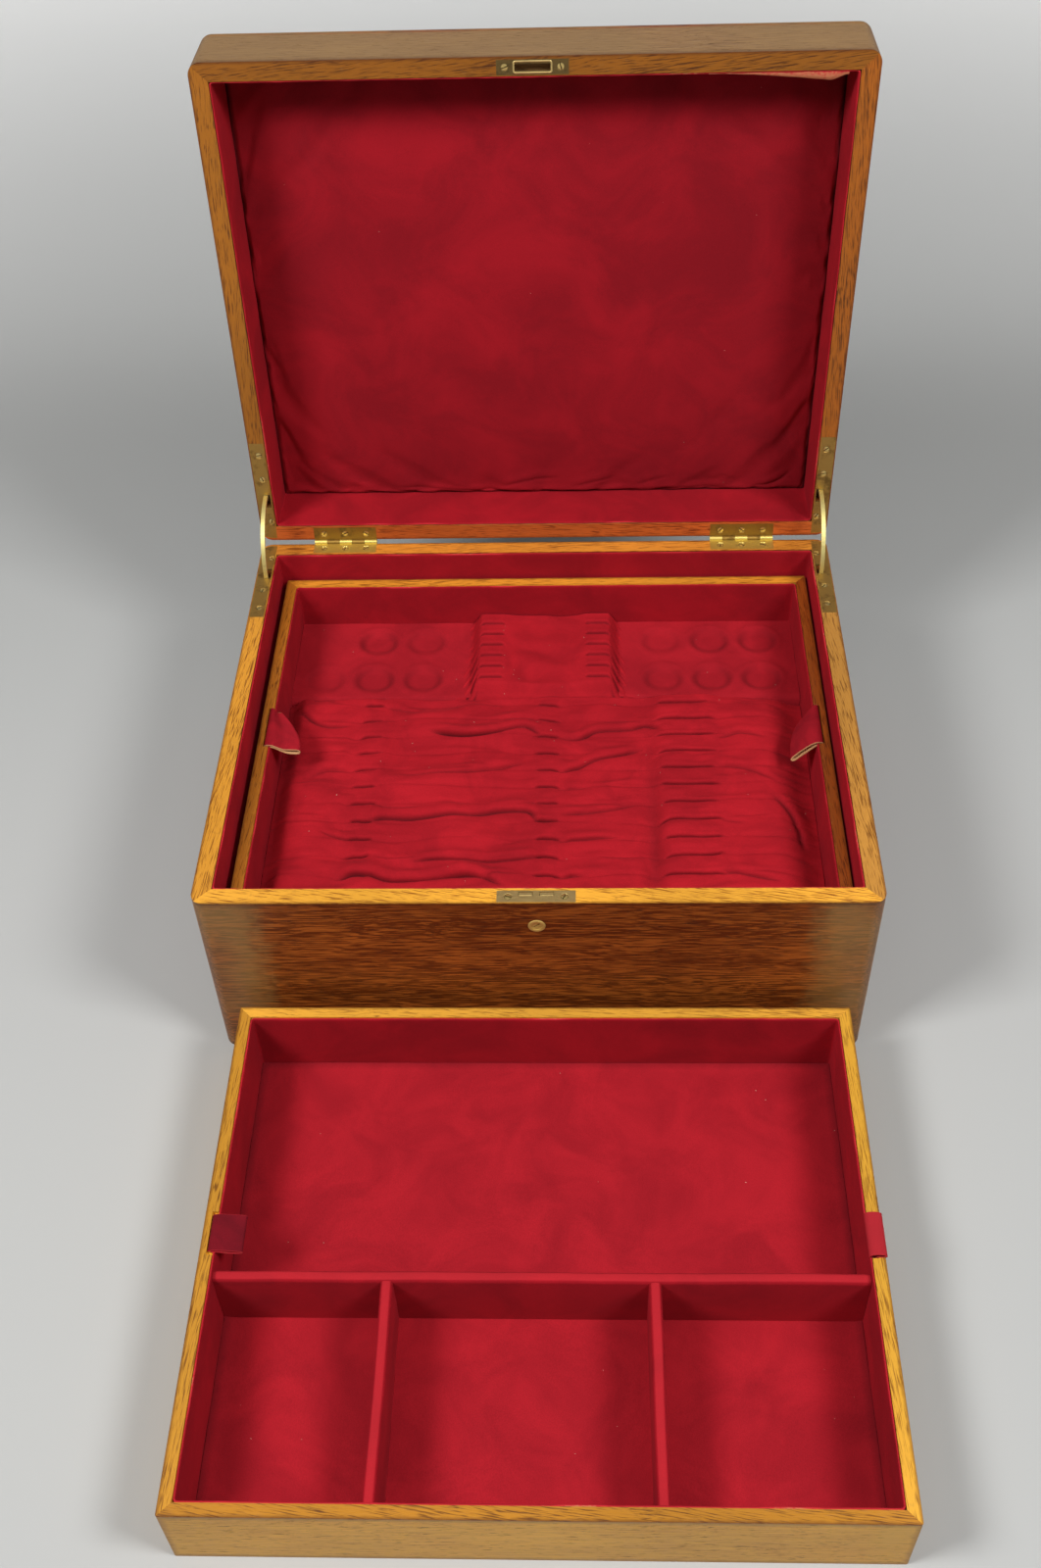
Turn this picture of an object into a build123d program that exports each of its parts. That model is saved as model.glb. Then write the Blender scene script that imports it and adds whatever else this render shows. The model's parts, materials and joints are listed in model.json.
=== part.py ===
from build123d import *
from math import asin, cos, degrees, pi, radians, sin
import os

# A chest for silverware: an oak box with a hinged lid on two brass quadrant stays, a
# mortise lock, and two lift-out trays. It stands open, with the upper tray lifted out and
# standing in front of it. +X is right, +Y back, +Z up, and the origin is the middle of
# the chest's underside. All lengths are in millimetres, and all angles in degrees.

# Chest and lid, outside sizes
chest_width = 457.0
chest_depth = 381.0
chest_height = 160.0
wall = 12.7
corner_radius = 9.0
base_thickness = 6.4
base_rebate = 6.0
lid_frame_height = 47.5
lid_top_thickness = 9.5
lid_edge_radius = 6.0
lid_open_angle = 92.5
rim_gap = 0.3

# Butt hinges, two-inch brass
hinge_inset = 42.6
leaf_length = 50.8
leaf_reach = 11.5
leaf_thickness = 1.3
knuckle_radius = 2.2
knuckle_count = 5
knuckle_gap = 0.2
knuckle_standoff = 0.2
pin_radius = 1.0
pin_clearance = 0.05
hinge_screw_pitch = 17.0
hinge_screw_setback = 5.6

# Quadrant stays, one let into each side wall
arc_radius = 44.5
arc_width = 3.2
arc_depth = 2.6
arc_setback = 8.1
stop_height = 2.0
stop_angle = 5.0
stop_bite = 1.0
mortise_spare_angle = 1.5
stay_plate_length = 88.9
stay_plate_width = 11.4
stay_plate_thickness = 1.6
stay_plate_inset = 0.8
stay_plate_start = 2.0
stay_plate_corner = 7.5
stay_slot_length = 12.0
stay_slot_width = 5.1
stay_pocket_depth = 8.0
stay_screw_steps = (18.0, 58.0, 80.0)
stay_rear_screw_setback = 9.6
stay_screw_setback = 7.4
stay_clearance = 0.3

# Lock, key plug and strike
lock_plate_length = 52.0
lock_plate_width = 10.0
lock_plate_thickness = 2.0
lock_plate_setback = 0.9
lock_screw_offset = 18.6
case_length = 34.0
case_width = 8.3
case_depth = 29.0
case_wall = 1.0
case_clearance = 0.2
prong_length = 9.0
prong_gap = 5.0
prong_width = 3.3
prong_setback = 8.05
bolt_bar_width = 4.7
bolt_bar_height = 6.0
bolt_bar_lift = 3.2
bolt_travel = 5.0
bolt_clearance = 0.2
prong_round = 0.5
key_drop = 23.3
escutcheon_radius = 5.85
escutcheon_proud = 0.6
escutcheon_bevel = 0.4
plug_radius = 3.75
plug_clearance = 0.05
plug_spare = 0.6
key_slot_length = 5.6
key_slot_width = 1.2
key_slot_depth = 1.4
key_slot_angle = 38.0
cam_length = 6.0
cam_width = 3.0
cam_depth = 2.8
spindle_radius = 2.0
spindle_end = 0.2
strike_length = 48.0
strike_width = 10.2
strike_thickness = 1.6
strike_setback = 1.9
strike_opening_length = 24.2
strike_opening_width = 6.6
strike_pocket_spare = 2.5

# Wood screws, all alike
screw_head_radius = 2.7
screw_head_height = 1.7
screw_shank_radius = 1.35
screw_length = 13.0
screw_slot_width = 0.7
screw_slot_depth = 0.6
screw_slot_turn = 35.0
screw_clearance = 0.05

# Velvet and its padding
lining = 1.5
lining_edge_drop = 0.6
soft_gap = 0.3
pad_edge = 3.6
pad_crown = 3.8
pad_drawn_in = 3.0
pad_roll = 2.0

# Trays, two alike outside
tray_gap = 3.5
tray_height = 60.0
tray_wall = 8.0
tray_corner = 1.6
tray_base = 5.0
tray_base_rebate = 4.0
tray_drop = 24.0
lower_tray_x = 1.5
lower_tray_y = 1.0
upper_tray_x = 3.1
upper_tray_gap = 10.5
bearer_thickness = 10.0
bearer_end_gap = 11.3
bearer_round = 1.5

# Pull tabs, folded ribbon loops over the tray's side walls
tab_width = {"lower": 40.0, "upper": 29.0}
tab_reach = {"lower": 27.0, "upper": 21.0}
tab_root_radius = 1.3
tab_end_radius = 2.6
tab_ribbon = 1.1
tab_sag = 2.0
tab_rebate_width = 3.8
tab_rebate_depth = 2.6
tab_axis_drop = 0.7

# Fittings of the lower tray
rack_slots = 12
rack_front_gap = 15.7
rack_end = 9.0
rack_slot_width = 3.2
rack_slot_depth = 8.0
rack_flare = 3.0
rack_round = 1.2
rack_wall_gap = {"left": 62.0, "right": 75.3}
rack_middle_shift = 3.5
rack_width = {"left": 13.5, "middle": 15.0, "right": 35.0}
rack_top_drop = {"left": 32.0, "middle": 32.0, "right": 29.0}
cloth_drop = 34.0
cloth_thickness = 1.4
pleat_height = 1.6
fold_height = 2.4
fold_count = 4
fold_skew = 60.0
well_pad_drop = 39.0
recess_radius = 16.0
recess_depth = 3.4
recess_bevel = 1.2
recess_pitch_x = 39.0
recess_pitch_y = 44.7
recess_side_gap = 11.3
teaspoon_slots = 6
teaspoon_pitch = 12.9
teaspoon_end = 7.0
teaspoon_back_gap = 1.3
teaspoon_front_gap = 6.9
teaspoon_spread = 80.0
teaspoon_width = 22.3
teaspoon_height = 10.0
teaspoon_slot_depth = 6.0

# Dividers of the upper tray
divider_thickness = 7.5
divider_drop = 4.5
divider_round = 2.4
front_compartment_depth = 133.75
left_compartment_width = 103.95
right_compartment_width = 127.15

# Places that follow from the sizes above
hinge_setback = knuckle_radius + knuckle_standoff
hinge_y = chest_depth / 2 + hinge_setback
hinge_z = chest_height + rim_gap / 2
front_y = -chest_depth - hinge_setback
back_y = -hinge_setback
centre_y = (front_y + back_y) / 2
inner_width = chest_width - 2 * wall
inner_depth = chest_depth - 2 * wall
hinge_offset = chest_width / 2 - hinge_inset - leaf_length / 2
tray_width = inner_width - 2 * (lining + tray_gap)
tray_depth = inner_depth - 2 * (lining + tray_gap)
tray_inner_width = tray_width - 2 * tray_wall
tray_inner_depth = tray_depth - 2 * tray_wall
lined_width = tray_inner_width - 2 * lining
lined_depth = tray_inner_depth - 2 * lining
lower_tray_z = chest_height - tray_drop - tray_height
upper_tray_y = -chest_depth / 2 - upper_tray_gap - tray_depth / 2
prong_step = (prong_length + prong_gap) / 2
case_front = lock_plate_setback + lock_plate_width - case_width
bolt_back = prong_setback + prong_width / 2
bolt_front = bolt_back - bolt_bar_width
bolt_bar_top = chest_height - key_drop + bolt_bar_lift + bolt_bar_height
strike_pocket_depth = bolt_travel + strike_pocket_spare
arc_x = chest_width / 2 - arc_setback
stop_start = degrees(asin((rim_gap / 2 + stay_plate_thickness + stay_clearance) / arc_radius))
arc_end = stop_start + stop_angle
mortise_end = lid_open_angle / 2 + arc_end + mortise_spare_angle
lid_up = Vector(0, sin(radians(lid_open_angle)), cos(radians(lid_open_angle)))
hinge_axis = Vector(0, hinge_y, hinge_z)

# Each half is drawn on its own rim plane, whose normal points out of the rim and whose
# origin lies on the hinge line. Local -Y runs towards the front edge in both halves; the
# lid's plane faces the chest's, so its local X runs the other way.
chest_rim = Plane(origin=hinge_axis - Vector(0, 0, rim_gap / 2), x_dir=(1, 0, 0), z_dir=(0, 0, 1))
lid_rim = Plane(origin=hinge_axis + lid_up * (rim_gap / 2), x_dir=(-1, 0, 0), z_dir=-lid_up)
rims = {"chest": chest_rim, "lid": lid_rim}
hands = {"left": -1, "right": 1}
tray_places = {
    "lower": (lower_tray_x, lower_tray_y, lower_tray_z),
    "upper": (upper_tray_x, upper_tray_y, 0.0),
}
sides = ("front", "back", "left", "right")

os.makedirs("parts", exist_ok=True)


def save(piece, name):
    """Label a finished piece and write it under its own name."""
    piece.label = name
    export_step(piece, f"parts/{name}.step")


def board_plan(width, depth, thickness, corner, side):
    """Plan of one board of a mitred rectangular frame with rounded corners."""
    out_x, out_y = width / 2, depth / 2
    in_x, in_y = out_x - thickness, out_y - thickness
    outlines = {
        "front": [(-out_x, -out_y), (out_x, -out_y), (in_x, -in_y), (-in_x, -in_y)],
        "back": [(out_x, out_y), (-out_x, out_y), (-in_x, in_y), (in_x, in_y)],
        "left": [(-out_x, out_y), (-out_x, -out_y), (-in_x, -in_y), (-in_x, in_y)],
        "right": [(out_x, -out_y), (out_x, out_y), (in_x, in_y), (in_x, -in_y)],
    }
    with BuildSketch() as plan:
        Polygon(*outlines[side], align=None)
        RectangleRounded(width, depth, corner, mode=Mode.INTERSECT)
    return plan.sketch


def ring_sector(inner, outer, start, end):
    """Part of a flat ring round the origin, from one angle to another."""
    with BuildSketch() as sector:
        with BuildLine():
            near = CenterArc((0, 0), inner, start, end - start)
            far = CenterArc((0, 0), outer, start, end - start)
            Line(near @ 0, far @ 0)
            Line(near @ 1, far @ 1)
        make_face()
    return sector.sketch


def side_plane(x):
    """Plane square to the hinge line, in which angles are counted from the front up."""
    return Plane(origin=(x, hinge_y, hinge_z), x_dir=(0, -1, 0), z_dir=(-1, 0, 0))


def screw_blank(grown):
    """One countersunk screw, standing head up at the origin, or its hole."""
    head = screw_head_radius + grown
    shank = screw_shank_radius + grown
    with BuildPart() as screw:
        with BuildSketch(Plane.XZ):
            with BuildLine():
                Polyline(
                    (0, 0),
                    (head, 0),
                    (shank, -screw_head_height),
                    (shank, -screw_length + shank),
                    (0, -screw_length - grown),
                    close=True,
                )
            make_face()
        revolve(axis=Axis.Z)
        if not grown:
            with BuildSketch(Plane.XY):
                Rectangle(2 * head, screw_slot_width, rotation=screw_slot_turn)
            extrude(amount=-screw_slot_depth, mode=Mode.SUBTRACT)
    return screw.part


def local_sign(half, side):
    """Which way along its rim's X axis one side of a half lies."""
    return hands[side] if half == "chest" else -hands[side]


def screw_places(half, group):
    """Where one group's screws stand on a half's rim."""
    if group == "hinge":
        row = [-hinge_screw_pitch, 0, hinge_screw_pitch]
        y = back_y - hinge_screw_setback
        points = [(side * hinge_offset + step, y) for side in (-1, 1) for step in row]
    elif group == "stay":
        across = [stay_rear_screw_setback, stay_screw_setback, stay_screw_setback]
        points = [
            (side * (chest_width / 2 - x), back_y - y)
            for side in (-1, 1)
            for x, y in zip(across, stay_screw_steps)
        ]
    else:
        lock_y = front_y + lock_plate_setback + lock_plate_width / 2
        strike_y = front_y + strike_setback + strike_width / 2
        y = lock_y if half == "chest" else strike_y
        points = [(side * lock_screw_offset, y) for side in (-1, 1)]
    return [rims[half].location * Location((x, y, 0)) for x, y in points]


def screw_set(half, groups, grown):
    """The screws of some groups on one rim, or their holes."""
    blank = screw_blank(grown)
    places = [place for group in groups for place in screw_places(half, group)]
    with BuildPart() as screws:
        with Locations(*places):
            add(blank)
    return screws.part


hole_sets = {
    (half, group): screw_set(half, [group], screw_clearance)
    for half in rims
    for group in ("hinge", "stay", "lock")
}


def stay_mortise(half):
    """Angles between which the arc and its stops swing inside one half's wall."""
    if half == "chest":
        return -mortise_end, stop_start
    return lid_open_angle - stop_start, lid_open_angle + mortise_end


def stay_slot(x_sign):
    """Outline on the rim of the slot that the arc works in."""
    outer = arc_setback - arc_width / 2 - stay_clearance
    x = x_sign * (chest_width / 2 - outer - stay_slot_width / 2)
    y = -arc_radius - arc_depth / 2 - stay_clearance
    with BuildSketch() as slot:
        with Locations((x, y)):
            Rectangle(stay_slot_width, stay_slot_length, align=(Align.CENTER, Align.MIN))
    return slot.sketch


def stay_plate_outline(x_sign):
    """Outline of a stay's plate, rounded at the chest's corner."""
    x = x_sign * (chest_width / 2 - stay_plate_inset - stay_plate_width / 2)
    y = back_y - stay_plate_start - stay_plate_length / 2
    with BuildSketch() as outline:
        with Locations((x, y)):
            Rectangle(stay_plate_width, stay_plate_length)
        rear = outline.vertices().group_by(Axis.Y)[-1].sort_by(Axis.X)
        fillet(rear[-1] if x_sign > 0 else rear[0], radius=stay_plate_corner)
    return outline.sketch


def hinge_recess():
    """Outlines on a rim of the two hinge leaves."""
    with BuildSketch() as leaves:
        with Locations((-hinge_offset, back_y), (hinge_offset, back_y)):
            Rectangle(leaf_length, leaf_reach, align=(Align.CENTER, Align.MAX))
    return leaves.sketch


def lock_outline(half):
    """Outline of the lock's plate on the chest, or of the strike on the lid."""
    length, width, setback = {
        "chest": (lock_plate_length, lock_plate_width, lock_plate_setback),
        "lid": (strike_length, strike_width, strike_setback),
    }[half]
    with BuildSketch() as outline:
        with Locations((0, front_y + setback)):
            Rectangle(length, width, align=(Align.CENTER, Align.MIN))
    return outline.sketch


def case_outline(grown):
    """Outline of the lock's case, whose inner face lines up with its plate."""
    y = front_y + lock_plate_setback + lock_plate_width - case_width / 2
    with BuildSketch() as outline:
        with Locations((0, y)):
            Rectangle(case_length + 2 * grown, case_width + 2 * grown)
    return outline.sketch


def strike_outline():
    """Outline of the opening in the strike."""
    y = front_y + prong_setback
    with BuildSketch() as outline:
        with Locations((0, y)):
            Rectangle(strike_opening_length, strike_opening_width)
    return outline.sketch


# Boards of the chest and the lid, mitred at the corners
def wall_board(half, side):
    rim = rims[half]
    height = chest_height if half == "chest" else lid_frame_height
    local_side = side
    if side in hands:
        local_side = "left" if local_sign(half, side) < 0 else "right"
    with BuildPart() as board:
        with BuildSketch(rim):
            with Locations((0, centre_y)):
                add(board_plan(chest_width, chest_depth, wall, corner_radius, local_side))
        extrude(amount=-height)
        if half == "chest":
            with BuildSketch(rim.offset(-height)):
                with Locations((0, centre_y)):
                    Rectangle(inner_width + 2 * base_rebate, inner_depth + 2 * base_rebate)
            extrude(amount=base_thickness, mode=Mode.SUBTRACT)
        if side == "back":
            with BuildSketch(rim):
                add(hinge_recess())
            extrude(amount=-leaf_thickness, mode=Mode.SUBTRACT)
            with BuildSketch(rim):
                add(stay_plate_outline(-1))
                add(stay_plate_outline(1))
            extrude(amount=-stay_plate_thickness, mode=Mode.SUBTRACT)
            add(hole_sets[half, "hinge"], mode=Mode.SUBTRACT)
        if side in hands:
            x_sign = local_sign(half, side)
            start, end = stay_mortise(half)
            with BuildSketch(rim):
                add(stay_plate_outline(x_sign))
            extrude(amount=-stay_plate_thickness, mode=Mode.SUBTRACT)
            with BuildSketch(rim):
                add(stay_slot(x_sign))
            extrude(amount=-stay_pocket_depth, mode=Mode.SUBTRACT)
            with BuildSketch(side_plane(hands[side] * arc_x)):
                inner = arc_radius - arc_depth / 2 - stay_clearance
                outer = arc_radius + arc_depth / 2 + stop_height + stay_clearance
                add(ring_sector(inner, outer, start, end))
            extrude(amount=arc_width / 2 + stay_clearance, both=True, mode=Mode.SUBTRACT)
            add(hole_sets[half, "stay"], mode=Mode.SUBTRACT)
        if side == "front":
            depth = lock_plate_thickness if half == "chest" else strike_thickness
            with BuildSketch(rim):
                add(lock_outline(half))
            extrude(amount=-depth, mode=Mode.SUBTRACT)
            with BuildSketch(rim):
                if half == "chest":
                    add(case_outline(case_clearance))
                else:
                    add(strike_outline())
            pocket = case_depth + case_clearance if half == "chest" else strike_pocket_depth
            extrude(amount=-pocket, mode=Mode.SUBTRACT)
            add(hole_sets[half, "lock"], mode=Mode.SUBTRACT)
            if half == "chest":
                with BuildSketch(key_plane):
                    Circle(escutcheon_radius + plug_clearance)
                extrude(amount=-case_front, mode=Mode.SUBTRACT)
    return board.part


key_plane = Plane(
    origin=(0, -chest_depth / 2, chest_height - key_drop), x_dir=(1, 0, 0), z_dir=(0, -1, 0)
)
for half in rims:
    for side in sides:
        save(wall_board(half, side), f"{half}_{side}_board")

# Base board, let into a rebate in the four walls
with BuildPart() as chest_base_board:
    with BuildSketch(Plane.XY):
        Rectangle(inner_width + 2 * base_rebate, inner_depth + 2 * base_rebate)
    extrude(amount=base_thickness)
save(chest_base_board.part, "chest_base_board")

# Top of the lid, laid over the frame with its edge rounded
with BuildPart() as lid_top_panel:
    with BuildSketch(lid_rim.offset(-lid_frame_height)):
        with Locations((0, centre_y)):
            RectangleRounded(chest_width, chest_depth, corner_radius)
    extrude(amount=-lid_top_thickness)
    top_face = lid_top_panel.faces().filter_by(Axis(hinge_axis, lid_up)).sort_by(Axis.Y)[-1]
    fillet(top_face.edges(), radius=lid_edge_radius)
save(lid_top_panel.part, "lid_top_panel")


# Velvet on the walls and floors
def wall_lining(plane, centre, width, depth, low, high):
    """A ring of lining against four walls, between two heights above its plane."""
    with BuildPart() as ring:
        with BuildSketch(plane.offset(low)):
            with Locations(centre):
                Rectangle(width, depth)
                Rectangle(width - 2 * lining, depth - 2 * lining, mode=Mode.SUBTRACT)
        extrude(amount=high - low)
    return ring.part


chest_floor_top = base_thickness + lining
save(
    wall_lining(
        Plane.XY, (0, 0), inner_width, inner_depth, chest_floor_top, chest_height - lining_edge_drop
    ),
    "chest_wall_lining",
)
with BuildPart() as chest_floor_lining:
    with BuildSketch(Plane.XY.offset(base_thickness)):
        Rectangle(inner_width, inner_depth)
    extrude(amount=lining)
save(chest_floor_lining.part, "chest_floor_lining")
save(
    wall_lining(
        lid_rim, (0, centre_y), inner_width, inner_depth, -lid_frame_height, -lining_edge_drop
    ),
    "lid_wall_lining",
)

# Bearers that carry the lower tray, one along each side
bearer_x = inner_width / 2 - lining - bearer_thickness / 2
bearer_length = inner_depth - 2 * lining - 2 * bearer_end_gap
for side, hand in hands.items():
    with BuildPart() as bearer:
        with BuildSketch(Plane.XY.offset(chest_floor_top)):
            with Locations((hand * bearer_x, 0)):
                Rectangle(bearer_thickness, bearer_length)
        extrude(amount=lower_tray_z - chest_floor_top)
        fillet(bearer.edges().filter_by(Axis.Z), radius=bearer_round)
    save(bearer.part, f"tray_bearer_{side}")

# Pad inside the lid: crowned both ways, its sides drawn in between the corners
pad_width = inner_width - 2 * lining - 2 * soft_gap
pad_depth = inner_depth - 2 * lining - 2 * soft_gap
pad_height = pad_edge + pad_crown
pad_plane = lid_rim.offset(-lid_frame_height)
pad_centre = pad_plane.from_local_coords(Vector(0, centre_y, 0))
pad_sections = (
    (pad_width, Plane(origin=pad_centre, x_dir=pad_plane.x_dir, z_dir=-pad_plane.y_dir)),
    (pad_depth, Plane(origin=pad_centre, x_dir=pad_plane.y_dir, z_dir=pad_plane.x_dir)),
)


def pad_outline():
    """Plan of the pad, each side drawn in towards its middle."""
    x, y = pad_width / 2, pad_depth / 2
    with BuildSketch() as outline:
        with BuildLine():
            ThreePointArc((-x, -y), (0, pad_drawn_in - y), (x, -y))
            ThreePointArc((x, -y), (x - pad_drawn_in, 0), (x, y))
            ThreePointArc((x, y), (0, y - pad_drawn_in), (-x, y))
            ThreePointArc((-x, y), (pad_drawn_in - x, 0), (-x, -y))
        make_face()
    return outline.sketch


def crown_profile(span):
    """Section of the pad, low at both edges and highest in the middle."""
    with BuildSketch() as profile:
        with BuildLine():
            ThreePointArc((-span / 2, pad_edge), (0, pad_height), (span / 2, pad_edge))
            Polyline(
                (span / 2, pad_edge), (span / 2, 0), (-span / 2, 0), (-span / 2, pad_edge)
            )
        make_face()
    return profile.sketch


with BuildPart() as lid_pad:
    with BuildSketch(pad_plane):
        with Locations((0, centre_y)):
            add(pad_outline())
    extrude(amount=pad_height)
    for span, section in pad_sections:
        with BuildSketch(section):
            add(crown_profile(span))
        extrude(amount=chest_width, both=True, mode=Mode.INTERSECT)
    side_faces = lid_pad.faces().filter_by(lambda face: abs(face.normal_at().dot(lid_up)) < 0.5)
    crown_edges = side_faces.edges().filter_by(
        lambda edge: abs(edge.tangent_at(0.5).dot(lid_up)) < 0.5
        and pad_plane.to_local_coords(edge @ 0.5).Z > pad_edge / 2
    )
    fillet(crown_edges, radius=pad_roll)
save(lid_pad.part, "lid_pad")


# Butt hinges: a leaf in each rim, with knuckles that mesh round one pin
def hinge_leaf(half, side):
    x = local_sign(half, side) * hinge_offset
    pitch = leaf_length / knuckle_count
    knuckle_length = pitch - knuckle_gap
    steps = [(i - (knuckle_count - 1) / 2) * pitch for i in range(knuckle_count)]
    own = steps[0::2] if half == "chest" else steps[1::2]
    other = steps[1::2] if half == "chest" else steps[0::2]
    with BuildPart() as leaf:
        with BuildSketch(rims[half]):
            with Locations((x, 0)):
                Rectangle(leaf_length, leaf_reach - back_y, align=(Align.CENTER, Align.MAX))
        extrude(amount=-leaf_thickness)
        with BuildSketch(rims[half]):
            with Locations(*[(x + step, 0) for step in other]):
                Rectangle(pitch, 2 * (knuckle_radius + knuckle_gap))
        extrude(amount=-leaf_thickness, mode=Mode.SUBTRACT)
        for step in own:
            start = hands[side] * hinge_offset + step - knuckle_length / 2
            knuckle_plane = Plane(origin=(start, hinge_y, hinge_z), z_dir=(1, 0, 0))
            with BuildSketch(knuckle_plane):
                Circle(knuckle_radius)
            extrude(amount=knuckle_length)
        with BuildSketch(Plane(origin=(0, hinge_y, hinge_z), z_dir=(1, 0, 0))):
            Circle(pin_radius + pin_clearance)
        extrude(amount=chest_width, both=True, mode=Mode.SUBTRACT)
        add(hole_sets[half, "hinge"], mode=Mode.SUBTRACT)
    return leaf.part


for half in rims:
    for side in hands:
        save(hinge_leaf(half, side), f"hinge_{side}_{half}_leaf")
with BuildPart() as hinge_pins:
    for hand in hands.values():
        pin_start = Vector(hand * hinge_offset - leaf_length / 2, hinge_y, hinge_z)
        with BuildSketch(Plane(origin=pin_start, z_dir=(1, 0, 0))):
            Circle(pin_radius)
        extrude(amount=leaf_length)
save(hinge_pins.part, "hinge_pins")


# Quadrant stays: a plate flush in each rim, and an arc with a stop at each end
def stay_plate(half, side):
    x_sign = local_sign(half, side)
    with BuildPart() as plate:
        with BuildSketch(rims[half]):
            add(stay_plate_outline(x_sign))
            add(stay_slot(x_sign), mode=Mode.SUBTRACT)
        extrude(amount=-stay_plate_thickness)
        add(hole_sets[half, "stay"], mode=Mode.SUBTRACT)
    return plate.part


for side in hands:
    for half in rims:
        save(stay_plate(half, side), f"stay_{side}_{half}_plate")
    with BuildPart() as arc:
        with BuildSketch(side_plane(hands[side] * arc_x)):
            inner = arc_radius - arc_depth / 2
            outer = arc_radius + arc_depth / 2
            top = lid_open_angle
            add(ring_sector(inner, outer, -arc_end, top + arc_end))
            for start, end in ((-arc_end, -stop_start), (top + stop_start, top + arc_end)):
                add(ring_sector(outer - stop_bite, outer + stop_height, start, end))
        extrude(amount=arc_width / 2, both=True)
    save(arc.part, f"stay_{side}_arc")

# Lock: its plate, its case, the two-pronged bolt, the key's plug and its collar
prong_places = [(side * prong_step, front_y + prong_setback) for side in (-1, 1)]
with BuildPart() as lock_plate:
    with BuildSketch(chest_rim):
        add(lock_outline("chest"))
        with Locations(*prong_places):
            Rectangle(
                prong_length + 2 * bolt_clearance,
                prong_width + 2 * bolt_clearance,
                mode=Mode.SUBTRACT,
            )
    extrude(amount=-lock_plate_thickness)
    add(hole_sets["chest", "lock"], mode=Mode.SUBTRACT)
save(lock_plate.part, "lock_selvedge_plate")

with BuildPart() as lock_case:
    with BuildSketch(chest_rim.offset(-lock_plate_thickness)):
        add(case_outline(0))
    extrude(amount=lock_plate_thickness - case_depth)
    with BuildSketch(chest_rim.offset(-lock_plate_thickness)):
        add(case_outline(-case_wall))
    extrude(amount=lock_plate_thickness - case_depth + case_wall, mode=Mode.SUBTRACT)
    with BuildSketch(key_plane):
        Circle(plug_radius + plug_clearance)
    extrude(amount=-case_front - case_wall, mode=Mode.SUBTRACT)
save(lock_case.part, "lock_case")

with BuildPart() as lock_bolt:
    with BuildSketch(Plane(origin=(0, hinge_y, bolt_bar_top))):
        with Locations((0, front_y + bolt_back)):
            Rectangle(
                2 * prong_length + prong_gap, bolt_bar_width, align=(Align.CENTER, Align.MAX)
            )
    extrude(amount=-bolt_bar_height)
    with BuildSketch(Plane(origin=(0, hinge_y, bolt_bar_top))):
        with Locations(*prong_places):
            Rectangle(prong_length, prong_width)
    extrude(amount=chest_height - bolt_bar_top)
    fillet(lock_bolt.faces().sort_by(Axis.Z)[-2:].edges(), radius=prong_round)
save(lock_bolt.part, "lock_bolt")

with BuildPart() as key_escutcheon:
    with BuildSketch(key_plane.offset(escutcheon_proud)):
        Circle(escutcheon_radius)
        Circle(plug_radius + plug_clearance, mode=Mode.SUBTRACT)
    extrude(amount=-escutcheon_proud - case_front)
    rim_edge = key_escutcheon.edges().filter_by(GeomType.CIRCLE).group_by(Axis.Y)[0]
    chamfer(rim_edge.sort_by(SortBy.RADIUS)[-1], length=escutcheon_bevel)
save(key_escutcheon.part, "key_escutcheon")

with BuildPart() as key_plug:
    plug_end = bolt_front - plug_spare
    with BuildSketch(key_plane):
        Circle(plug_radius)
    extrude(amount=-plug_end)
    with BuildSketch(key_plane.offset(-plug_end)):
        Circle(spindle_radius)
    extrude(amount=plug_end - bolt_front - cam_depth - spindle_end)
    with BuildSketch(key_plane.offset(-bolt_front)):
        Rectangle(cam_length, cam_width, align=(Align.MIN, Align.CENTER))
    extrude(amount=-cam_depth)
    with BuildSketch(key_plane):
        Rectangle(key_slot_length, key_slot_width, rotation=key_slot_angle)
    extrude(amount=-key_slot_depth, mode=Mode.SUBTRACT)
save(key_plug.part, "key_plug")

with BuildPart() as strike_plate:
    with BuildSketch(lid_rim):
        add(lock_outline("lid"))
        add(strike_outline(), mode=Mode.SUBTRACT)
    extrude(amount=-strike_thickness)
    add(hole_sets["lid", "lock"], mode=Mode.SUBTRACT)
save(strike_plate.part, "strike_plate")

for half in rims:
    save(screw_set(half, ["hinge", "stay", "lock"], 0), f"{half}_wood_screws")


# Trays: four mitred boards, a bottom let in, velvet inside and a pull tab each side
def tray_plane(tray, height):
    x, y, z = tray_places[tray]
    return Plane.XY.offset(z + height).move(Location((x, y, 0)))


def tab_rebate(tray, side):
    """Outline of the rebate that a pull tab is fixed in, on the tray's rim."""
    x = hands[side] * tray_inner_width / 2
    with BuildSketch() as outline:
        with Locations((x, 0)):
            Rectangle(2 * tab_rebate_width, tab_width[tray] + 2 * soft_gap)
    return outline.sketch


def tray_board(tray, side):
    with BuildPart() as board:
        with BuildSketch(tray_plane(tray, 0)):
            add(board_plan(tray_width, tray_depth, tray_wall, tray_corner, side))
        extrude(amount=tray_height)
        with BuildSketch(tray_plane(tray, 0)):
            Rectangle(
                tray_inner_width + 2 * tray_base_rebate, tray_inner_depth + 2 * tray_base_rebate
            )
        extrude(amount=tray_base, mode=Mode.SUBTRACT)
        if side in hands:
            with BuildSketch(tray_plane(tray, tray_height)):
                add(tab_rebate(tray, side))
            extrude(amount=-tab_rebate_depth, mode=Mode.SUBTRACT)
    return board.part


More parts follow.
